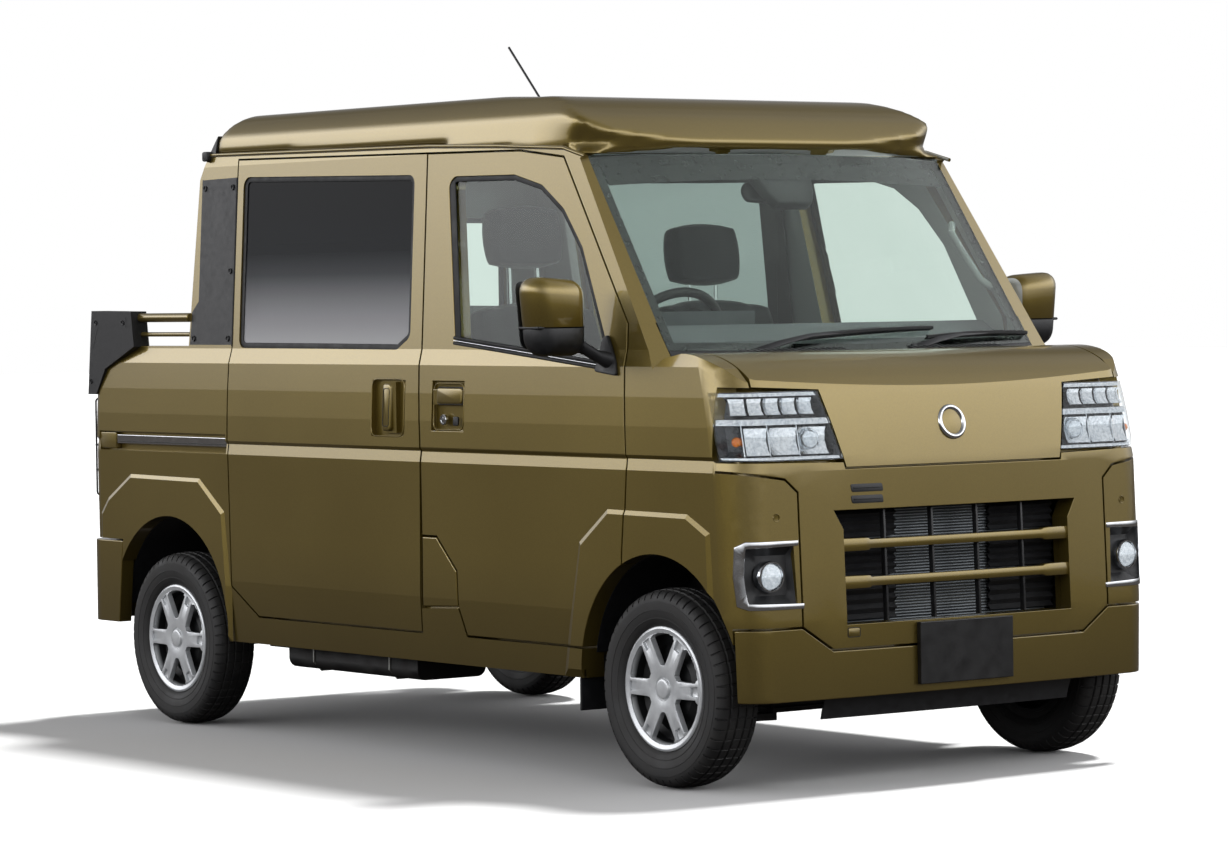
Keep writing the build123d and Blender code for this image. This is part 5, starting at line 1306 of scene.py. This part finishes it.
lip = rod("front_handle_lip_right", side_loop(0.272, 0.417, 0.938, 1.069, 0.022, -0.0004), 0.0022, 3, True)
finish_both(lip, olive_paint, "door_right")
flap = side_pad("front_handle_flap_right", 0.290, 0.412, 1.012, 1.056, 0.010, 0.0045, 0.012, 0.004)
finish_both(flap, olive_paint, "door_right")
flap_gap = rod(
    "front_handle_joint_right", side_loop(0.288, 0.414, 1.010, 1.058, 0.011, -0.001), 0.0016, 2, True
)
finish_both(flap_gap, seal_rubber, "door_right")
barrel_place = on_side(0.318, 0.966, -0.003)
barrel = turned(
    "door_key_barrel_right", barrel_place, (0, -1, 0),
    [
        (-0.004, 0.0), (-0.004, 0.0155), (0.0025, 0.0155), (0.0045, 0.0135), (0.0045, 0.0100),
        (0.0030, 0.0090), (0.0036, 0.0),
    ],
    32,
)
key_slot = [barrel_place + Vector((a * 0.0012, -0.006, b * 0.0062)) for a, b in box_corners(-1, 1, -1, 1)]
cut_away(barrel, prism("slot", key_slot, (0.0, 0.005, 0.0)))
finish_both(barrel, chrome, "door_right")
button = side_pad("door_request_button_right", 0.368, 0.392, 0.950, 0.976, 0.006, 0.0015, 0.006, 0.0015)
finish_both(button, black_abs, "door_right")
grip = side_pad("slide_handle_grip_right", 0.018, 0.062, 0.930, 1.066, 0.014, 0.006, 0.016, 0.006)
finish_both(grip, olive_paint, "chassis")
grip_line = rod(
    "slide_handle_inlay_right", side_loop(0.025, 0.055, 0.944, 1.052, 0.009, 0.006), 0.0011, 2, True
)
finish_both(grip_line, seal_rubber, "chassis")
grip_lip = rod(
    "slide_handle_lip_right", side_loop(-0.042, 0.122, 0.915, 1.079, 0.026, -0.0004), 0.0022, 3, True
)
finish_both(grip_lip, olive_paint, "chassis")


# ==== Sliding door rails
# A bright plated rail lies in a black-lined slot behind each sliding door, and ends at a painted
# block.
dress(["slide_rails"], chrome, 0.002, 3)
liner_rows = [[on_side(x, z, -0.0245) for x in spread(-1.580, -0.812, 8)] for z in (0.8455, 0.875, 0.9045)]
liner = sheet("slide_rail_liner_right", liner_rows, Vector((0.0, 0.0015, 0.0)))
finish_both(liner, black_abs, "chassis")
stop = side_pad("slide_rail_block_right", -1.578, -1.478, 0.850, 0.901, 0.006, -0.003, 0.018, 0.003)
finish_both(stop, olive_paint, "chassis")
groove = rod(
    "slide_rail_groove_right", [Vector((x, -0.7288, 0.8735)) for x in (-1.470, -1.0, -0.832)], 0.0012, 2
)
finish_both(groove, seal_rubber, "chassis")


# ==== Door mirrors
# Each mirror has a painted shell over a black lower half, silvered glass behind and a black arm that
# ends in a cover on the front corner of the door window.
def block(name, low, high, edge, steps=4):
    """A box with rounded edges between two corners."""
    bpy.ops.object.select_all(action="DESELECT")
    bpy.ops.mesh.primitive_cube_add(size=1.0)
    piece = bpy.context.object
    piece.name = name
    low, high = Vector(low), Vector(high)
    for vertex in piece.data.vertices:
        vertex.co = Vector(((vertex.co[i] + 0.5) * (high[i] - low[i]) + low[i] for i in range(3)))
    return round_edges(piece, edge, steps)


def sliced(piece, place, normal, keep_above):
    """Cuts a piece by a plane and keeps one side, closed."""
    only(piece)
    bpy.ops.object.mode_set(mode="EDIT")
    bpy.ops.mesh.select_all(action="SELECT")
    bpy.ops.mesh.bisect(plane_co=place, plane_no=normal, use_fill=True, clear_inner=keep_above,
                        clear_outer=not keep_above)
    bpy.ops.object.mode_set(mode="OBJECT")
    return piece


mirror_low, mirror_high = (0.957, -0.954, 1.150), (1.066, -0.772, 1.364)
mirror_cut = 1.226
halves = []
for label, keep_above, gap in (("upper", True, 0.0015), ("lower", False, -0.0015)):
    half = block(f"mirror_{label}_right", mirror_low, mirror_high, 0.046, 6)
    for vertex in half.data.vertices:
        drop = (mirror_high[2] - vertex.co.z) / (mirror_high[2] - mirror_low[2])
        out = (mirror_high[1] - vertex.co.y) / (mirror_high[1] - mirror_low[1])
        vertex.co.y += 0.024 * drop * out
        vertex.co.z -= 0.012 * (1 - out) * (drop < 0.5)
        vertex.co.x += 0.010 * (1 - (2 * out - 1) ** 2) * (vertex.co.x > 1.01)
    halves.append(sliced(half, (0, 0, mirror_cut + gap), (0, 0, 1), keep_above))
shell, bowl = (round_edges(half, 0.0015, 2, 50.0) for half in halves)
finish_both(shell, olive_paint, "door_right", ["mirror_right"])
finish_both(bowl, black_abs, "door_right")
parting = block(
    "mirror_parting_right", (0.966, -0.940, mirror_cut - 0.004), (1.060, -0.784, mirror_cut + 0.004),
    0.012, 3,
)
bezel_outline = rounded([(-0.940, 1.352), (-0.788, 1.346), (-0.788, 1.168), (-0.922, 1.168)], 0.028, 6)
bezel = prism("mirror_bezel_right", set_at("x", 0.958, bezel_outline), (-0.004, 0, 0))
parting = joined([parting, round_edges(bezel, 0.0015, 2)], "mirror_parting_right")
finish_both(parting, black_abs, "door_right")
# Silvered float glass of the mirrors: bright, neutral and nearly flawless.
mirror_silver = mottled("silvered_mirror_glass", ("#C9CED2", "#D3D7DA"), (0.01, 0.04), 0.08, metallic=1.0)
glass_outline = rounded([(-0.933, 1.344), (-0.795, 1.339), (-0.795, 1.175), (-0.917, 1.175)], 0.024, 6)
looking_glass = prism("mirror_glass_right", set_at("x", 0.9545, glass_outline), (-0.0015, 0, 0))
finish_both(round_edges(looking_glass, 0.0006, 2), mirror_silver, "door_right")
arm_rows = []
for x, y, z, wide, tall in ((1.020, -0.800, 1.190, 0.022, 0.022), (1.046, -0.775, 1.168, 0.021, 0.018),
                            (1.068, -0.752, 1.148, 0.021, 0.017), (1.086, -0.726, 1.135, 0.024, 0.024)):
    arm_rows.append([Vector((x + wide * cos(a), y, z + tall * sin(a))) for a in spread(0.0, 2 * pi, 17)])
arm = sheet("mirror_arm_right", arm_rows)
merged(0.0001)
sail_outline = rounded(
    [(1.028, 1.106), (1.126, 1.095), (1.118, 1.128), (1.064, 1.206), (1.044, 1.196)], 0.010
)
sail = prism("sail", [on_side(x, z) for x, z in sail_outline], (0.0, -0.010, 0.0))
arm = joined([arm, round_edges(sail, 0.004, 3)], "mirror_arm_right")
finish_both(arm, black_abs, "door_right")


# ==== Front seats
# Foam seats in woven grey cloth on black steel frames. Each has a crowned cushion with side bolsters,
# a back with sewn channels and a head restraint on two plated posts.
def pad(name, centre, half, lean=0.0, blend=0.32, seams=(), cuts=22, crown=0.0):
    """A stuffed cushion: a fine box drawn towards an ellipsoid, crowned and pulled in along seams."""
    bpy.ops.object.select_all(action="DESELECT")
    bpy.ops.mesh.primitive_cube_add(size=2.0)
    piece = bpy.context.object
    piece.name = name
    bpy.ops.object.mode_set(mode="EDIT")
    bpy.ops.mesh.select_all(action="SELECT")
    bpy.ops.mesh.subdivide(number_cuts=cuts)
    bpy.ops.object.mode_set(mode="OBJECT")
    turn = Matrix.Rotation(lean, 3, "Y")
    # how far to each side a seam pulls the cover in
    seam_reach = 0.010
    for vertex in piece.data.vertices:
        a, b, c = vertex.co
        ball = Vector((a * (1 - b * b / 2 - c * c / 2 + b * b * c * c / 3) ** 0.5,
                       b * (1 - a * a / 2 - c * c / 2 + a * a * c * c / 3) ** 0.5,
                       c * (1 - a * a / 2 - b * b / 2 + a * a * b * b / 3) ** 0.5))
        soft = Vector((a, b, c)).lerp(ball, blend)
        out = ball.normalized()
        fall = 0.0
        for direction, at, deep in seams:
            gap = (soft[direction] - at) * half[direction]
            fall += deep * 2.718 ** (-((gap / seam_reach) ** 2))
        spot = Vector((soft[i] * half[i] for i in range(3))) - out * fall
        if c > 0.5:
            spot.z += crown * max(0.0, 1 - a * a) * max(0.0, 1 - b * b)
        vertex.co = Vector(centre) + turn @ spot
    only(piece)
    bpy.ops.object.mode_set(mode="EDIT")
    bpy.ops.mesh.select_all(action="SELECT")
    bpy.ops.mesh.vertices_smooth(factor=0.4, repeat=2)
    bpy.ops.object.mode_set(mode="OBJECT")
    return piece


# Woven polyester seat cloth: dark grey melange, threads drawn 2 mm wide, matt with a soft sheen.
seat_cloth, tree, shader = new_material(
    "woven_grey_seat_cloth", "#26282C", 0.9, 0.0, Sheen_Weight=0.35, Sheen_Roughness=0.5
)
place = add_node(tree, "ShaderNodeTexCoord").outputs["Object"]
weft = add_node(
    tree, "ShaderNodeTexWave", {"Vector": place, "Scale": 1.0 / 0.002 / wave_bands, "Distortion": 1.0},
    bands_direction="Y",
)
warp = add_node(
    tree, "ShaderNodeTexWave", {"Vector": place, "Scale": 1.0 / 0.002 / wave_bands, "Distortion": 1.0},
    bands_direction="Z",
)
weave = add_node(
    tree, "ShaderNodeMath", {0: weft.outputs["Fac"], 1: warp.outputs["Fac"]}, operation="MULTIPLY"
)
fade = add_node(tree, "ShaderNodeTexNoise", {"Vector": place, "Scale": 9.0, "Detail": 4.0})
melange = add_node(
    tree, "ShaderNodeMix", {0: fade.outputs["Fac"], 6: linear("#202226"), 7: linear("#303338")},
    data_type="RGBA",
)
tree.links.new(melange.outputs[2], shader.inputs["Base Color"])
relief = add_node(tree, "ShaderNodeBump", {"Height": weave.outputs[0], "Distance": 0.0008, "Strength": 0.6})
tree.links.new(relief.outputs["Normal"], shader.inputs["Normal"])


def seat_pad(name, centre, half, lean, blend, seams, node, cuts=22, crown=0.0):
    """A padded piece in seat cloth that stands for a CAD node; it leans by degrees."""
    piece = pad(name, centre, half, radians(lean), blend, seams, cuts, crown)
    finish(piece, seat_cloth, "chassis", [node], 60.0)


hinge_outline = rounded(
    [(0.280, 0.640), (0.440, 0.640), (0.420, 0.720), (0.330, 0.800), (0.270, 0.790)], 0.020
)
for side, hand, rest_top in ((-1, "right", 1.575), (1, "left", 1.520)):
    y = side * 0.33
    seat_pad(
        f"seat_cushion_{hand}", (0.560, y, 0.690), (0.272, 0.232, 0.072), 3.0, 0.30,
        ((1, 0.60, 0.010), (1, -0.60, 0.010), (0, 0.38, 0.007), (0, -0.36, 0.007)), "front_seats",
        crown=0.018,
    )
    seat_pad(
        f"seat_back_{hand}", (0.262, y, 0.985), (0.068, 0.226, 0.318), -17.0, 0.30,
        ((1, 0.60, 0.009), (1, -0.60, 0.009), (2, 0.32, 0.006), (2, -0.30, 0.006)), "front_seats",
    )
    seat_pad(
        f"head_restraint_{hand}", (0.160, y, rest_top - 0.093), (0.048, 0.128, 0.092), -8.0, 0.45,
        ((1, 0.70, 0.003), (1, -0.70, 0.003)), "front_seats", 16,
    )
    posts = [
        rod("post", [(0.166, y + shift, rest_top - 0.30), (0.161, y + shift, rest_top - 0.14)], 0.0065, 5)
        for shift in (-0.05, 0.05)
    ]
    posts = joined(posts, f"head_restraint_posts_{hand}")
    finish(posts, chrome, "chassis", ["front_seats"])
    frame_parts = [block("plinth", (0.330, y - 0.205, 0.601), (0.815, y + 0.205, 0.640), 0.012, 3)]
    for shift in (-0.235, 0.235):
        frame_parts.append(
            prism("hinge_cover", set_at("y", y + shift - 0.008, hinge_outline), (0, 0.016, 0))
        )
    base = round_edges(joined(frame_parts, f"seat_base_{hand}"), 0.003, 2)
    finish(base, black_abs, "chassis", ["front_seats"])
    for shift in (-0.232, 0.232):
        edge = "in" if shift * side < 0 else "out"
        path = [(0.300 + 0.52 * s, y + shift * 0.86, 0.758 - 0.012 * s) for s in spread(0.0, 1.0, 10)]
        welt = rod(f"seat_piping_{hand}_{edge}", path, 0.003, 3)
        finish(welt, seat_cloth, "chassis")


# ==== Rear bench
# A low foam bench in the same cloth, with two seat places and a folding back split in the middle.
for side, hand in ((-1, "right"), (1, "left")):
    seat_pad(
        f"bench_cushion_{hand}", (-0.570, side * 0.292, 0.600), (0.240, 0.284, 0.075), -3.0, 0.26,
        ((1, 0.66 * side, 0.008), (0, 0.2, 0.006)), "rear_seat", crown=0.012,
    )
    seat_pad(
        f"bench_back_{hand}", (-0.862, side * 0.292, 0.905), (0.055, 0.284, 0.262), -13.0, 0.26,
        ((2, 0.3, 0.006), (2, -0.3, 0.006), (1, 0.66 * side, 0.007)), "rear_seat",
    )
bench_outline = ((-0.340, 0.372), (-0.335, 0.545), (-0.745, 0.545), (-0.745, 0.372))
bench_base = prism("bench_base", set_at("y", -0.575, bench_outline), (0.0, 1.150, 0.0))
round_edges(bench_base, 0.010, 3)
finish(bench_base, floor_coat, "chassis", ["rear_seat"])


# ==== Dashboard and steering wheel
# A grey moulded dashboard with round-cornered vents, a dark centre panel and two round dials. The
# steering wheel has a grained rim, three spokes and a soft centre pad.

# Slush-moulded PVC skin: grey, leather-grained at 2 mm, matt.
dash_skin = mottled("slush_moulded_dash_skin", ("#4B4E51", "#585B5E"), (0.55, 0.7), 0.05, 0.0003, 0.002)
dress(["dashboard"], dash_skin, 0.008, 3)


def dash_face(y, up, proud=0.0):
    """A point on the dashboard face that looks at the driver, from its foot at 0 to its brow at 1."""
    foot, brow = Vector((0.900, y, 1.090)), Vector((0.915, y, 1.150))
    return foot.lerp(brow, up) + Vector((-proud, 0, 0))


vents = []
vent_outline = rounded(box_corners(-0.045, 0.045, 0.05, 1.0), 0.012)
vent_hole = rounded(box_corners(-0.038, 0.038, 0.16, 0.88), 0.008)
for y in (-0.555, -0.075, 0.075, 0.555):
    rim = prism("vent", [dash_face(y + a, b, 0.006) for a, b in vent_outline], (0.012, 0, 0))
    hole = prism("hole", [dash_face(y + a, b, 0.02) for a, b in vent_hole], (0.018, 0, 0))
    vents.append(cut_away(rim, hole))
    for share in (0.3, 0.5, 0.7):
        ends = [dash_face(y + aside, share, 0.003) for aside in (-0.038, 0.038)]
        vents.append(rod("blade", ends, 0.0016, 2))
finish(joined(vents, "dash_vents"), black_abs, "chassis")
panel = block("dash_centre_panel", (0.905, -0.110, 0.935), (0.935, 0.110, 1.080), 0.006, 3)
knobs = [
    turned(
        "knob", (0.907, y, 0.965), (-1, 0, 0.1),
        [(0.0, 0.0), (0.0, 0.019), (0.014, 0.017), (0.018, 0.014), (0.018, 0.0)], 24,
    )
    for y in (-0.07, 0.0, 0.07)
]
finish(joined([panel] + knobs, "dash_centre_panel"), black_abs, "chassis")
# Display glass: black, mirror smooth.
display = mottled("black_display_glass", ("#050607", "#090A0C"), (0.04, 0.08), 0.05)
screen = block("dash_display", (0.9030, -0.085, 0.990), (0.910, 0.085, 1.072), 0.002, 2)
finish(screen, display, "chassis")
dials = [
    turned(
        "dial", (0.9335, y, 1.226), (-1, 0, 0.05),
        [(-0.004, 0.0), (-0.004, 0.044), (0.003, 0.046), (0.006, 0.043), (0.002, 0.041), (0.001, 0.0)], 40,
    )
    for y in (-0.405, -0.310)
]
finish(joined(dials, "instrument_dials"), display, "chassis")
lever = rod("lever", [(0.930, -0.055, 0.90), (0.880, -0.060, 0.93), (0.850, -0.060, 0.97)], 0.007, 4)
lever_knob = pad("lever_knob", (0.845, -0.060, 0.985), (0.020, 0.018, 0.026), 0.0, 0.8, (), 8)
finish(joined([lever, lever_knob], "gear_lever"), black_abs, "chassis")

column_up = Vector((-cos(radians(32.0)), 0.0, sin(radians(32.0))))
column_foot = Vector((1.130, -0.330, 0.965))
rim_middle = column_foot + column_up * 0.370
toward_top = Vector((0, 1, 0)).cross(column_up).normalized()


def rim_point(angle, reach, lift=0.0):
    """A point on the steering wheel: round it, out from its middle and up along the column."""
    return rim_middle + (Vector((0, 1, 0)) * cos(angle) + toward_top * sin(angle)) * reach + column_up * lift


ring = rod("ring", [rim_point(a, 0.182) for a in spread(0.0, 2 * pi, 65)[:-1]], 0.0135, 5, True)
hub_pad = pad("hub", rim_middle - column_up * 0.010, (0.024, 0.066, 0.060), radians(32.0), 0.55, (), 12)
spokes = []
for angle in (radians(8), radians(172), radians(270)):
    edge = Vector((0, 1, 0)) * -sin(angle) + toward_top * cos(angle)
    rows = [[rim_point(angle, r, l) + edge * w * s for s in (-1, 0, 1)] for r, l, w in
            ((0.050, -0.012, 0.026), (0.100, -0.006, 0.015), (0.150, 0.0, 0.014), (0.176, 0.0, 0.018))]
    spokes.append(round_edges(sheet("spoke", rows, column_up * 0.009), 0.003, 2))
column = turned(
    "column", column_foot, column_up,
    [
        (0.0, 0.0), (0.0, 0.0155), (0.200, 0.0155), (0.205, 0.035), (0.330, 0.042), (0.338, 0.030),
        (0.345, 0.0),
    ],
    32,
)
steering = joined([ring, hub_pad] + spokes + [column], "steering_wheel_dressed")
finish(steering, black_abs, "hand_wheel", ["steering_wheel"], 50.0)


# ==== Cab trim
# Door cards with armrests, pillar covers, seat belts, an assist grip and the interior mirror. Grey
# polypropylene, with woven belts on the dark centre pillars.
trim_grey = mottled("grained_grey_polypropylene", ("#8E9391", "#9EA3A0"), (0.6, 0.75), 0.06, 0.0002, 0.0015)
card_outline = rounded(
    [
        (0.26, 0.70), (0.42, 0.54), (0.45, 0.46), (0.94, 0.46), (1.05, 0.64), (1.10, 0.80), (1.05, 1.06),
        (0.26, 1.11),
    ],
    0.02,
)
card = prism("front_door_card_right", set_at("y", -0.6705, card_outline), (0.0, 0.005, 0.0))
rest = block("rest", (0.36, -0.668, 0.845), (0.72, -0.628, 0.885), 0.012, 3)
pull_path = [(0.80, -0.664, 0.87), (0.80, -0.640, 0.88), (0.90, -0.640, 0.92), (0.90, -0.664, 0.93)]
pull = rod("pull", pull_path, 0.008, 4)
pocket_outline = rounded([(0.50, 0.48), (0.92, 0.48), (0.98, 0.60), (0.48, 0.62)], 0.02)
pocket = prism("pocket", set_at("y", -0.6655, pocket_outline), (0.0, 0.022, 0.0))
card = joined(
    [round_edges(card, 0.002, 2), rest, pull, round_edges(pocket, 0.006, 3)], "front_door_card_right"
)
finish_both(card, trim_grey, "door_right")
slide_outline = rounded([(-0.66, 0.44), (0.12, 0.44), (0.13, 1.12), (-0.76, 1.12), (-0.74, 0.60)], 0.03)
slide_card = prism("slide_door_card_right", set_at("y", -0.6705, slide_outline), (0.0, 0.005, 0.0))
slide_grip = rod(
    "grip", [(-0.02, -0.664, 1.00), (-0.02, -0.636, 0.99), (-0.02, -0.636, 0.86), (-0.02, -0.664, 0.85)],
    0.009, 4,
)
slide_card = joined([round_edges(slide_card, 0.002, 2), slide_grip], "slide_door_card_right")
finish_both(slide_card, trim_grey, "chassis")
pillar_section = ((0.115, -0.078), (0.130, -0.090), (0.205, -0.090), (0.222, -0.078))
pillar_rows = [[on_side(x, z, proud) for x, proud in pillar_section] for z in (1.14, 1.30, 1.46, 1.62, 1.68)]
pillar = sheet("centre_pillar_cover_right", pillar_rows, Vector((0.0, -0.004, 0.0)))
finish_both(pillar, black_abs, "chassis")
# Woven polyester belt: charcoal webbing.
webbing = mottled("woven_belt_webbing", ("#1C1D20", "#2A2B2F"), (0.7, 0.85), 0.01, 0.0003, 0.0015)
belt_path = ((0.165, -0.596, 1.52), (0.165, -0.600, 1.20), (0.170, -0.610, 0.90), (0.175, -0.618, 0.66))
belt_rows = [[Vector((x + half, y, z)) for half in (-0.023, 0.023)] for x, y, z in belt_path]
belt = sheet("seat_belt_right", belt_rows, Vector((0.0, 0.0014, 0.0)))
anchor = block("anchor", (0.140, -0.606, 1.505), (0.190, -0.590, 1.560), 0.006, 3)
belt = joined([belt, anchor], "seat_belt_right")
finish_both(belt, webbing, "chassis")
grip = rod(
    "assist_grip_left",
    [
        (1.118, 0.622, 1.318), (1.108, 0.590, 1.340), (1.060, 0.566, 1.420), (1.020, 0.560, 1.475),
        (0.992, 0.588, 1.500),
    ],
    0.0105, 5,
)
finish(grip, trim_grey, "chassis")
reflector = pad("inner_mirror", (0.905, 0.0, 1.592), (0.016, 0.118, 0.032), radians(-12.0), 0.5, (), 14)
stalk = rod("stalk", [(0.912, 0.0, 1.610), (0.930, 0.0, 1.640), (0.925, 0.0, 1.668)], 0.008, 4)
finish(joined([reflector, stalk], "inner_mirror"), black_abs, "chassis", (), 60.0)
visors = [
    pad("visor", (0.800, y, 1.7150), (0.075, 0.170, 0.009), radians(8.0), 0.25, (), 12)
    for y in (-0.31, 0.31)
]
finish(joined(visors, "sun_visors"), trim_grey, "chassis", (), 60.0)


# ==== Load bed and tailgate
# The bed floor has pressed ribs and a galvanised skid strip at its end. The tailgate hangs on the
# floor and closes with a pull handle and two toggle latches; rope hooks run along both sides.
rib_outline = rounded(box_corners(-1.590, -1.100, -0.022, 0.022), 0.012)
ribs = [prism("rib", [Vector((x, y + s, 0.6925)) for x, s in rib_outline], (0.0, 0.0, 0.0055))
        for y in spread(-0.48, 0.48, 9)]
ribs = round_edges(joined(ribs, "bed_floor_ribs"), 0.004, 2)
finish(ribs, olive_paint, "chassis")
outer_ribs = []
for z_low, z_high in ((0.640, 0.815), (0.855, 1.020)):
    for y in (-0.385, 0.0, 0.385):
        panel_outline = rounded(box_corners(y - 0.165, y + 0.165, z_low, z_high), 0.03, 6)
        outer_ribs.append(prism("panel", set_at("x", -1.6465, panel_outline), (-0.0035, 0.0, 0.0)))
outer_ribs = round_edges(joined(outer_ribs, "tailgate_panels"), 0.003, 3)
finish(outer_ribs, olive_paint, "gate")
handle_seat, handle_hole, handle_flap = (
    prism(name, set_at("x", x, rounded(box_corners(*box), radius, 6)), (deep, 0.0, 0.0))
    for name, x, box, radius, deep in (
        ("handle_seat", -1.6465, (-0.095, 0.095, 1.058, 1.128), 0.016, -0.005),
        ("hole", -1.6600, (-0.078, 0.078, 1.066, 1.108), 0.012, 0.0115),
        ("flap", -1.6505, (-0.072, 0.072, 1.082, 1.120), 0.010, -0.008),
    )
)
cut_away(handle_seat, handle_hole)
handle = joined([round_edges(handle_seat, 0.0015, 2), round_edges(handle_flap, 0.003, 3)], "tailgate_handle")
finish(handle, black_abs, "gate")
latches = []
for side in (-1, 1):
    y = side * 0.575
    latches.append(block("latch_plate", (-1.6530, y - 0.018, 1.070), (-1.6465, y + 0.018, 1.150), 0.003, 2))
    bail = [(-1.6545, side * 0.563, 1.145), (-1.6600, side * 0.563, 1.100),
            (-1.6600, side * 0.587, 1.100), (-1.6545, side * 0.587, 1.145)]
    latches.append(rod("latch_bail", bail, 0.0035, 4))
finish(joined(latches, "tailgate_latches"), zinc, "gate")
# a hook's bends: along the bed, outboard of its place, and height
HOOK = [(-0.02, 0.012, 1.120), (-0.02, -0.018, 1.118), (-0.015, -0.022, 1.104),
        (0.015, -0.022, 1.104), (0.02, -0.018, 1.118), (0.02, 0.012, 1.120)]
hooks = [rod("hook", [(x + along, side * (0.655 + out), z) for along, out, z in HOOK], 0.0045, 4)
         for side in (-1, 1) for x in (-1.18, -1.34, -1.50)]
finish(joined(hooks, "rope_hooks"), zinc, "chassis")
skid_outline = box_corners(-1.590, -1.560, 0.6925, 0.6945)
skid = prism("bed_skid_strip", set_at("y", -0.590, skid_outline), (0.0, 1.180, 0.0))
finish(round_edges(skid, 0.0006, 2), zinc, "chassis")
guards = [screw("guard_screw", (x, -0.7350, z), (0, -1, 0), 0.008)
          for x, z in ((-1.585, 1.245), (-1.420, 1.245), (-1.622, 1.060))]
ridge = rounded([(-1.605, 1.262), (-1.400, 1.262), (-1.400, 1.230), (-1.575, 1.230), (-1.605, 1.160)], 0.010)
guards.append(prism("guard_ridge", set_at("y", -0.7345, ridge), (0.0, -0.0015, 0.0)))
guards = joined(guards, "bed_guard_details_right")
finish_both(guards, black_abs, "chassis")


# ==== Tail lamps and rear bumper
# Slim upright lamps: a red tail and stop lens over an amber indicator and a clear reversing lens,
# parted by black fins. Red reflectors and a small lamp for the plate sit in the bumper.
tail_acrylic, tree, shader = new_material(
    "moulded_lamp_acrylic", "#8C0F12", 0.08, 0.0, Transmission_Weight=0.15, IOR=1.49, Coat_Weight=0.6
)
place = add_node(tree, "ShaderNodeTexCoord").outputs["Object"]
height = add_node(tree, "ShaderNodeSeparateXYZ", {"Vector": place}).outputs["Z"]
zone = add_node(tree, "ShaderNodeMapRange", {"Value": height, "From Min": 0.700, "From Max": 1.004})
bands = add_node(tree, "ShaderNodeValToRGB", {"Fac": zone.outputs[0]})
bands.color_ramp.interpolation = "CONSTANT"
fill_ramp(bands, [(0.0, linear("#C9CCCE")), (0.26, linear("#D9730E")), (0.52, linear("#8E1014"))])
prisms = add_node(
    tree, "ShaderNodeTexWave", {"Vector": place, "Scale": 1.0 / 0.006 / wave_bands}, bands_direction="Z"
)
tone = add_node(tree, "ShaderNodeMapRange", {"Value": prisms.outputs["Fac"], "To Min": 0.75, "To Max": 1.15})
ribbed = add_node(
    tree, "ShaderNodeMix", {0: 1.0, 6: bands.outputs["Color"], 7: tone.outputs[0]}, data_type="RGBA",
    blend_type="MULTIPLY",
)
tree.links.new(ribbed.outputs[2], shader.inputs["Base Color"])
relief = add_node(tree, "ShaderNodeBump", {"Height": prisms.outputs["Fac"], "Distance": 0.0006})
tree.links.new(relief.outputs["Normal"], shader.inputs["Normal"])
dress(["tail_lamps"], tail_acrylic, 0.004, 3)
fins = [block("fin", (-1.6310, -0.718, z - 0.0035), (-1.6000, -0.638, z + 0.0035), 0.0015, 2)
        for z in (0.779, 0.858)]
lamp_frame = rounded(box_corners(-0.717, -0.639, 0.699, 1.005), 0.012)
fins.append(rod("frame", set_at("x", -1.6245, lamp_frame), 0.003, 3, True))
fins = joined(fins, "tail_lamp_fins_right")
finish_both(fins, black_abs, "chassis")
# Prismatic reflector: deep red, with a fine triangular relief.
reflector_red = mottled("red_prismatic_reflector", ("#6E0A0C", "#8A1013"), (0.1, 0.25), 0.004, 0.0004, 0.003,
                        Coat_Weight=0.8)
marks = [
    block("mark", (-1.6800, y - 0.045, 0.452), (-1.6660, y + 0.045, 0.480), 0.004, 3) for y in (-0.56, 0.56)
]
finish(joined(marks, "rear_reflectors"), reflector_red, "chassis")
stop_lamp = block("high_stop_lamp", (-1.0450, -0.085, 1.768), (-1.0200, 0.085, 1.786), 0.004, 3)
finish(stop_lamp, reflector_red, "chassis")
plate_lamp = block("plate_lamp", (-1.6960, -0.035, 0.522), (-1.6750, 0.035, 0.540), 0.005, 3)
finish(plate_lamp, black_abs, "chassis")


# ==== Underbody details
# Splash shields of black ABS close the wheel arches towards the middle and out to the side panels. A
# turned tip ends the exhaust, and two plated straps hold the fuel tank.
ARCHES = (
    ("front_arch_liner_right", front_axle_x, 0.300, 0.325),
    ("rear_arch_liner_right", rear_axle_x, 0.312, 0.335),
)
for name, axle_x, arch_z, arch_radius in ARCHES:
    turns = spread(radians(8.0), radians(172.0), 42)
    reach = arch_radius - 0.0015
    liner = sheet(name, [[Vector((axle_x + reach * cos(t), -y, arch_z + reach * sin(t))) for t in turns]
                         for y in spread(0.434, 0.688, 8)])
    modify(liner, "SOLIDIFY", thickness=0.002, offset=0.0)
    finish_both(liner, black_abs, "chassis")
tip = turned(
    "exhaust_tip", (-1.575, 0.200, 0.300), (-1, 0, -0.12),
    [
        (0.0, 0.0), (0.0, 0.021), (0.090, 0.021), (0.092, 0.0195), (0.090, 0.018), (0.010, 0.018),
        (0.008, 0.0),
    ],
    32,
)
finish(tip, hot_steel, "chassis")
strap_path = [(-0.400, 0.3385), (-0.400, 0.230), (-0.425, 0.2035),
              (-0.615, 0.2035), (-0.6415, 0.230), (-0.6415, 0.3385)]
straps = [rod("strap", set_at("x", x, strap_path), 0.004, 2) for x in (-0.50, -0.10)]
finish(joined(straps, "fuel_tank_straps"), zinc, "chassis")
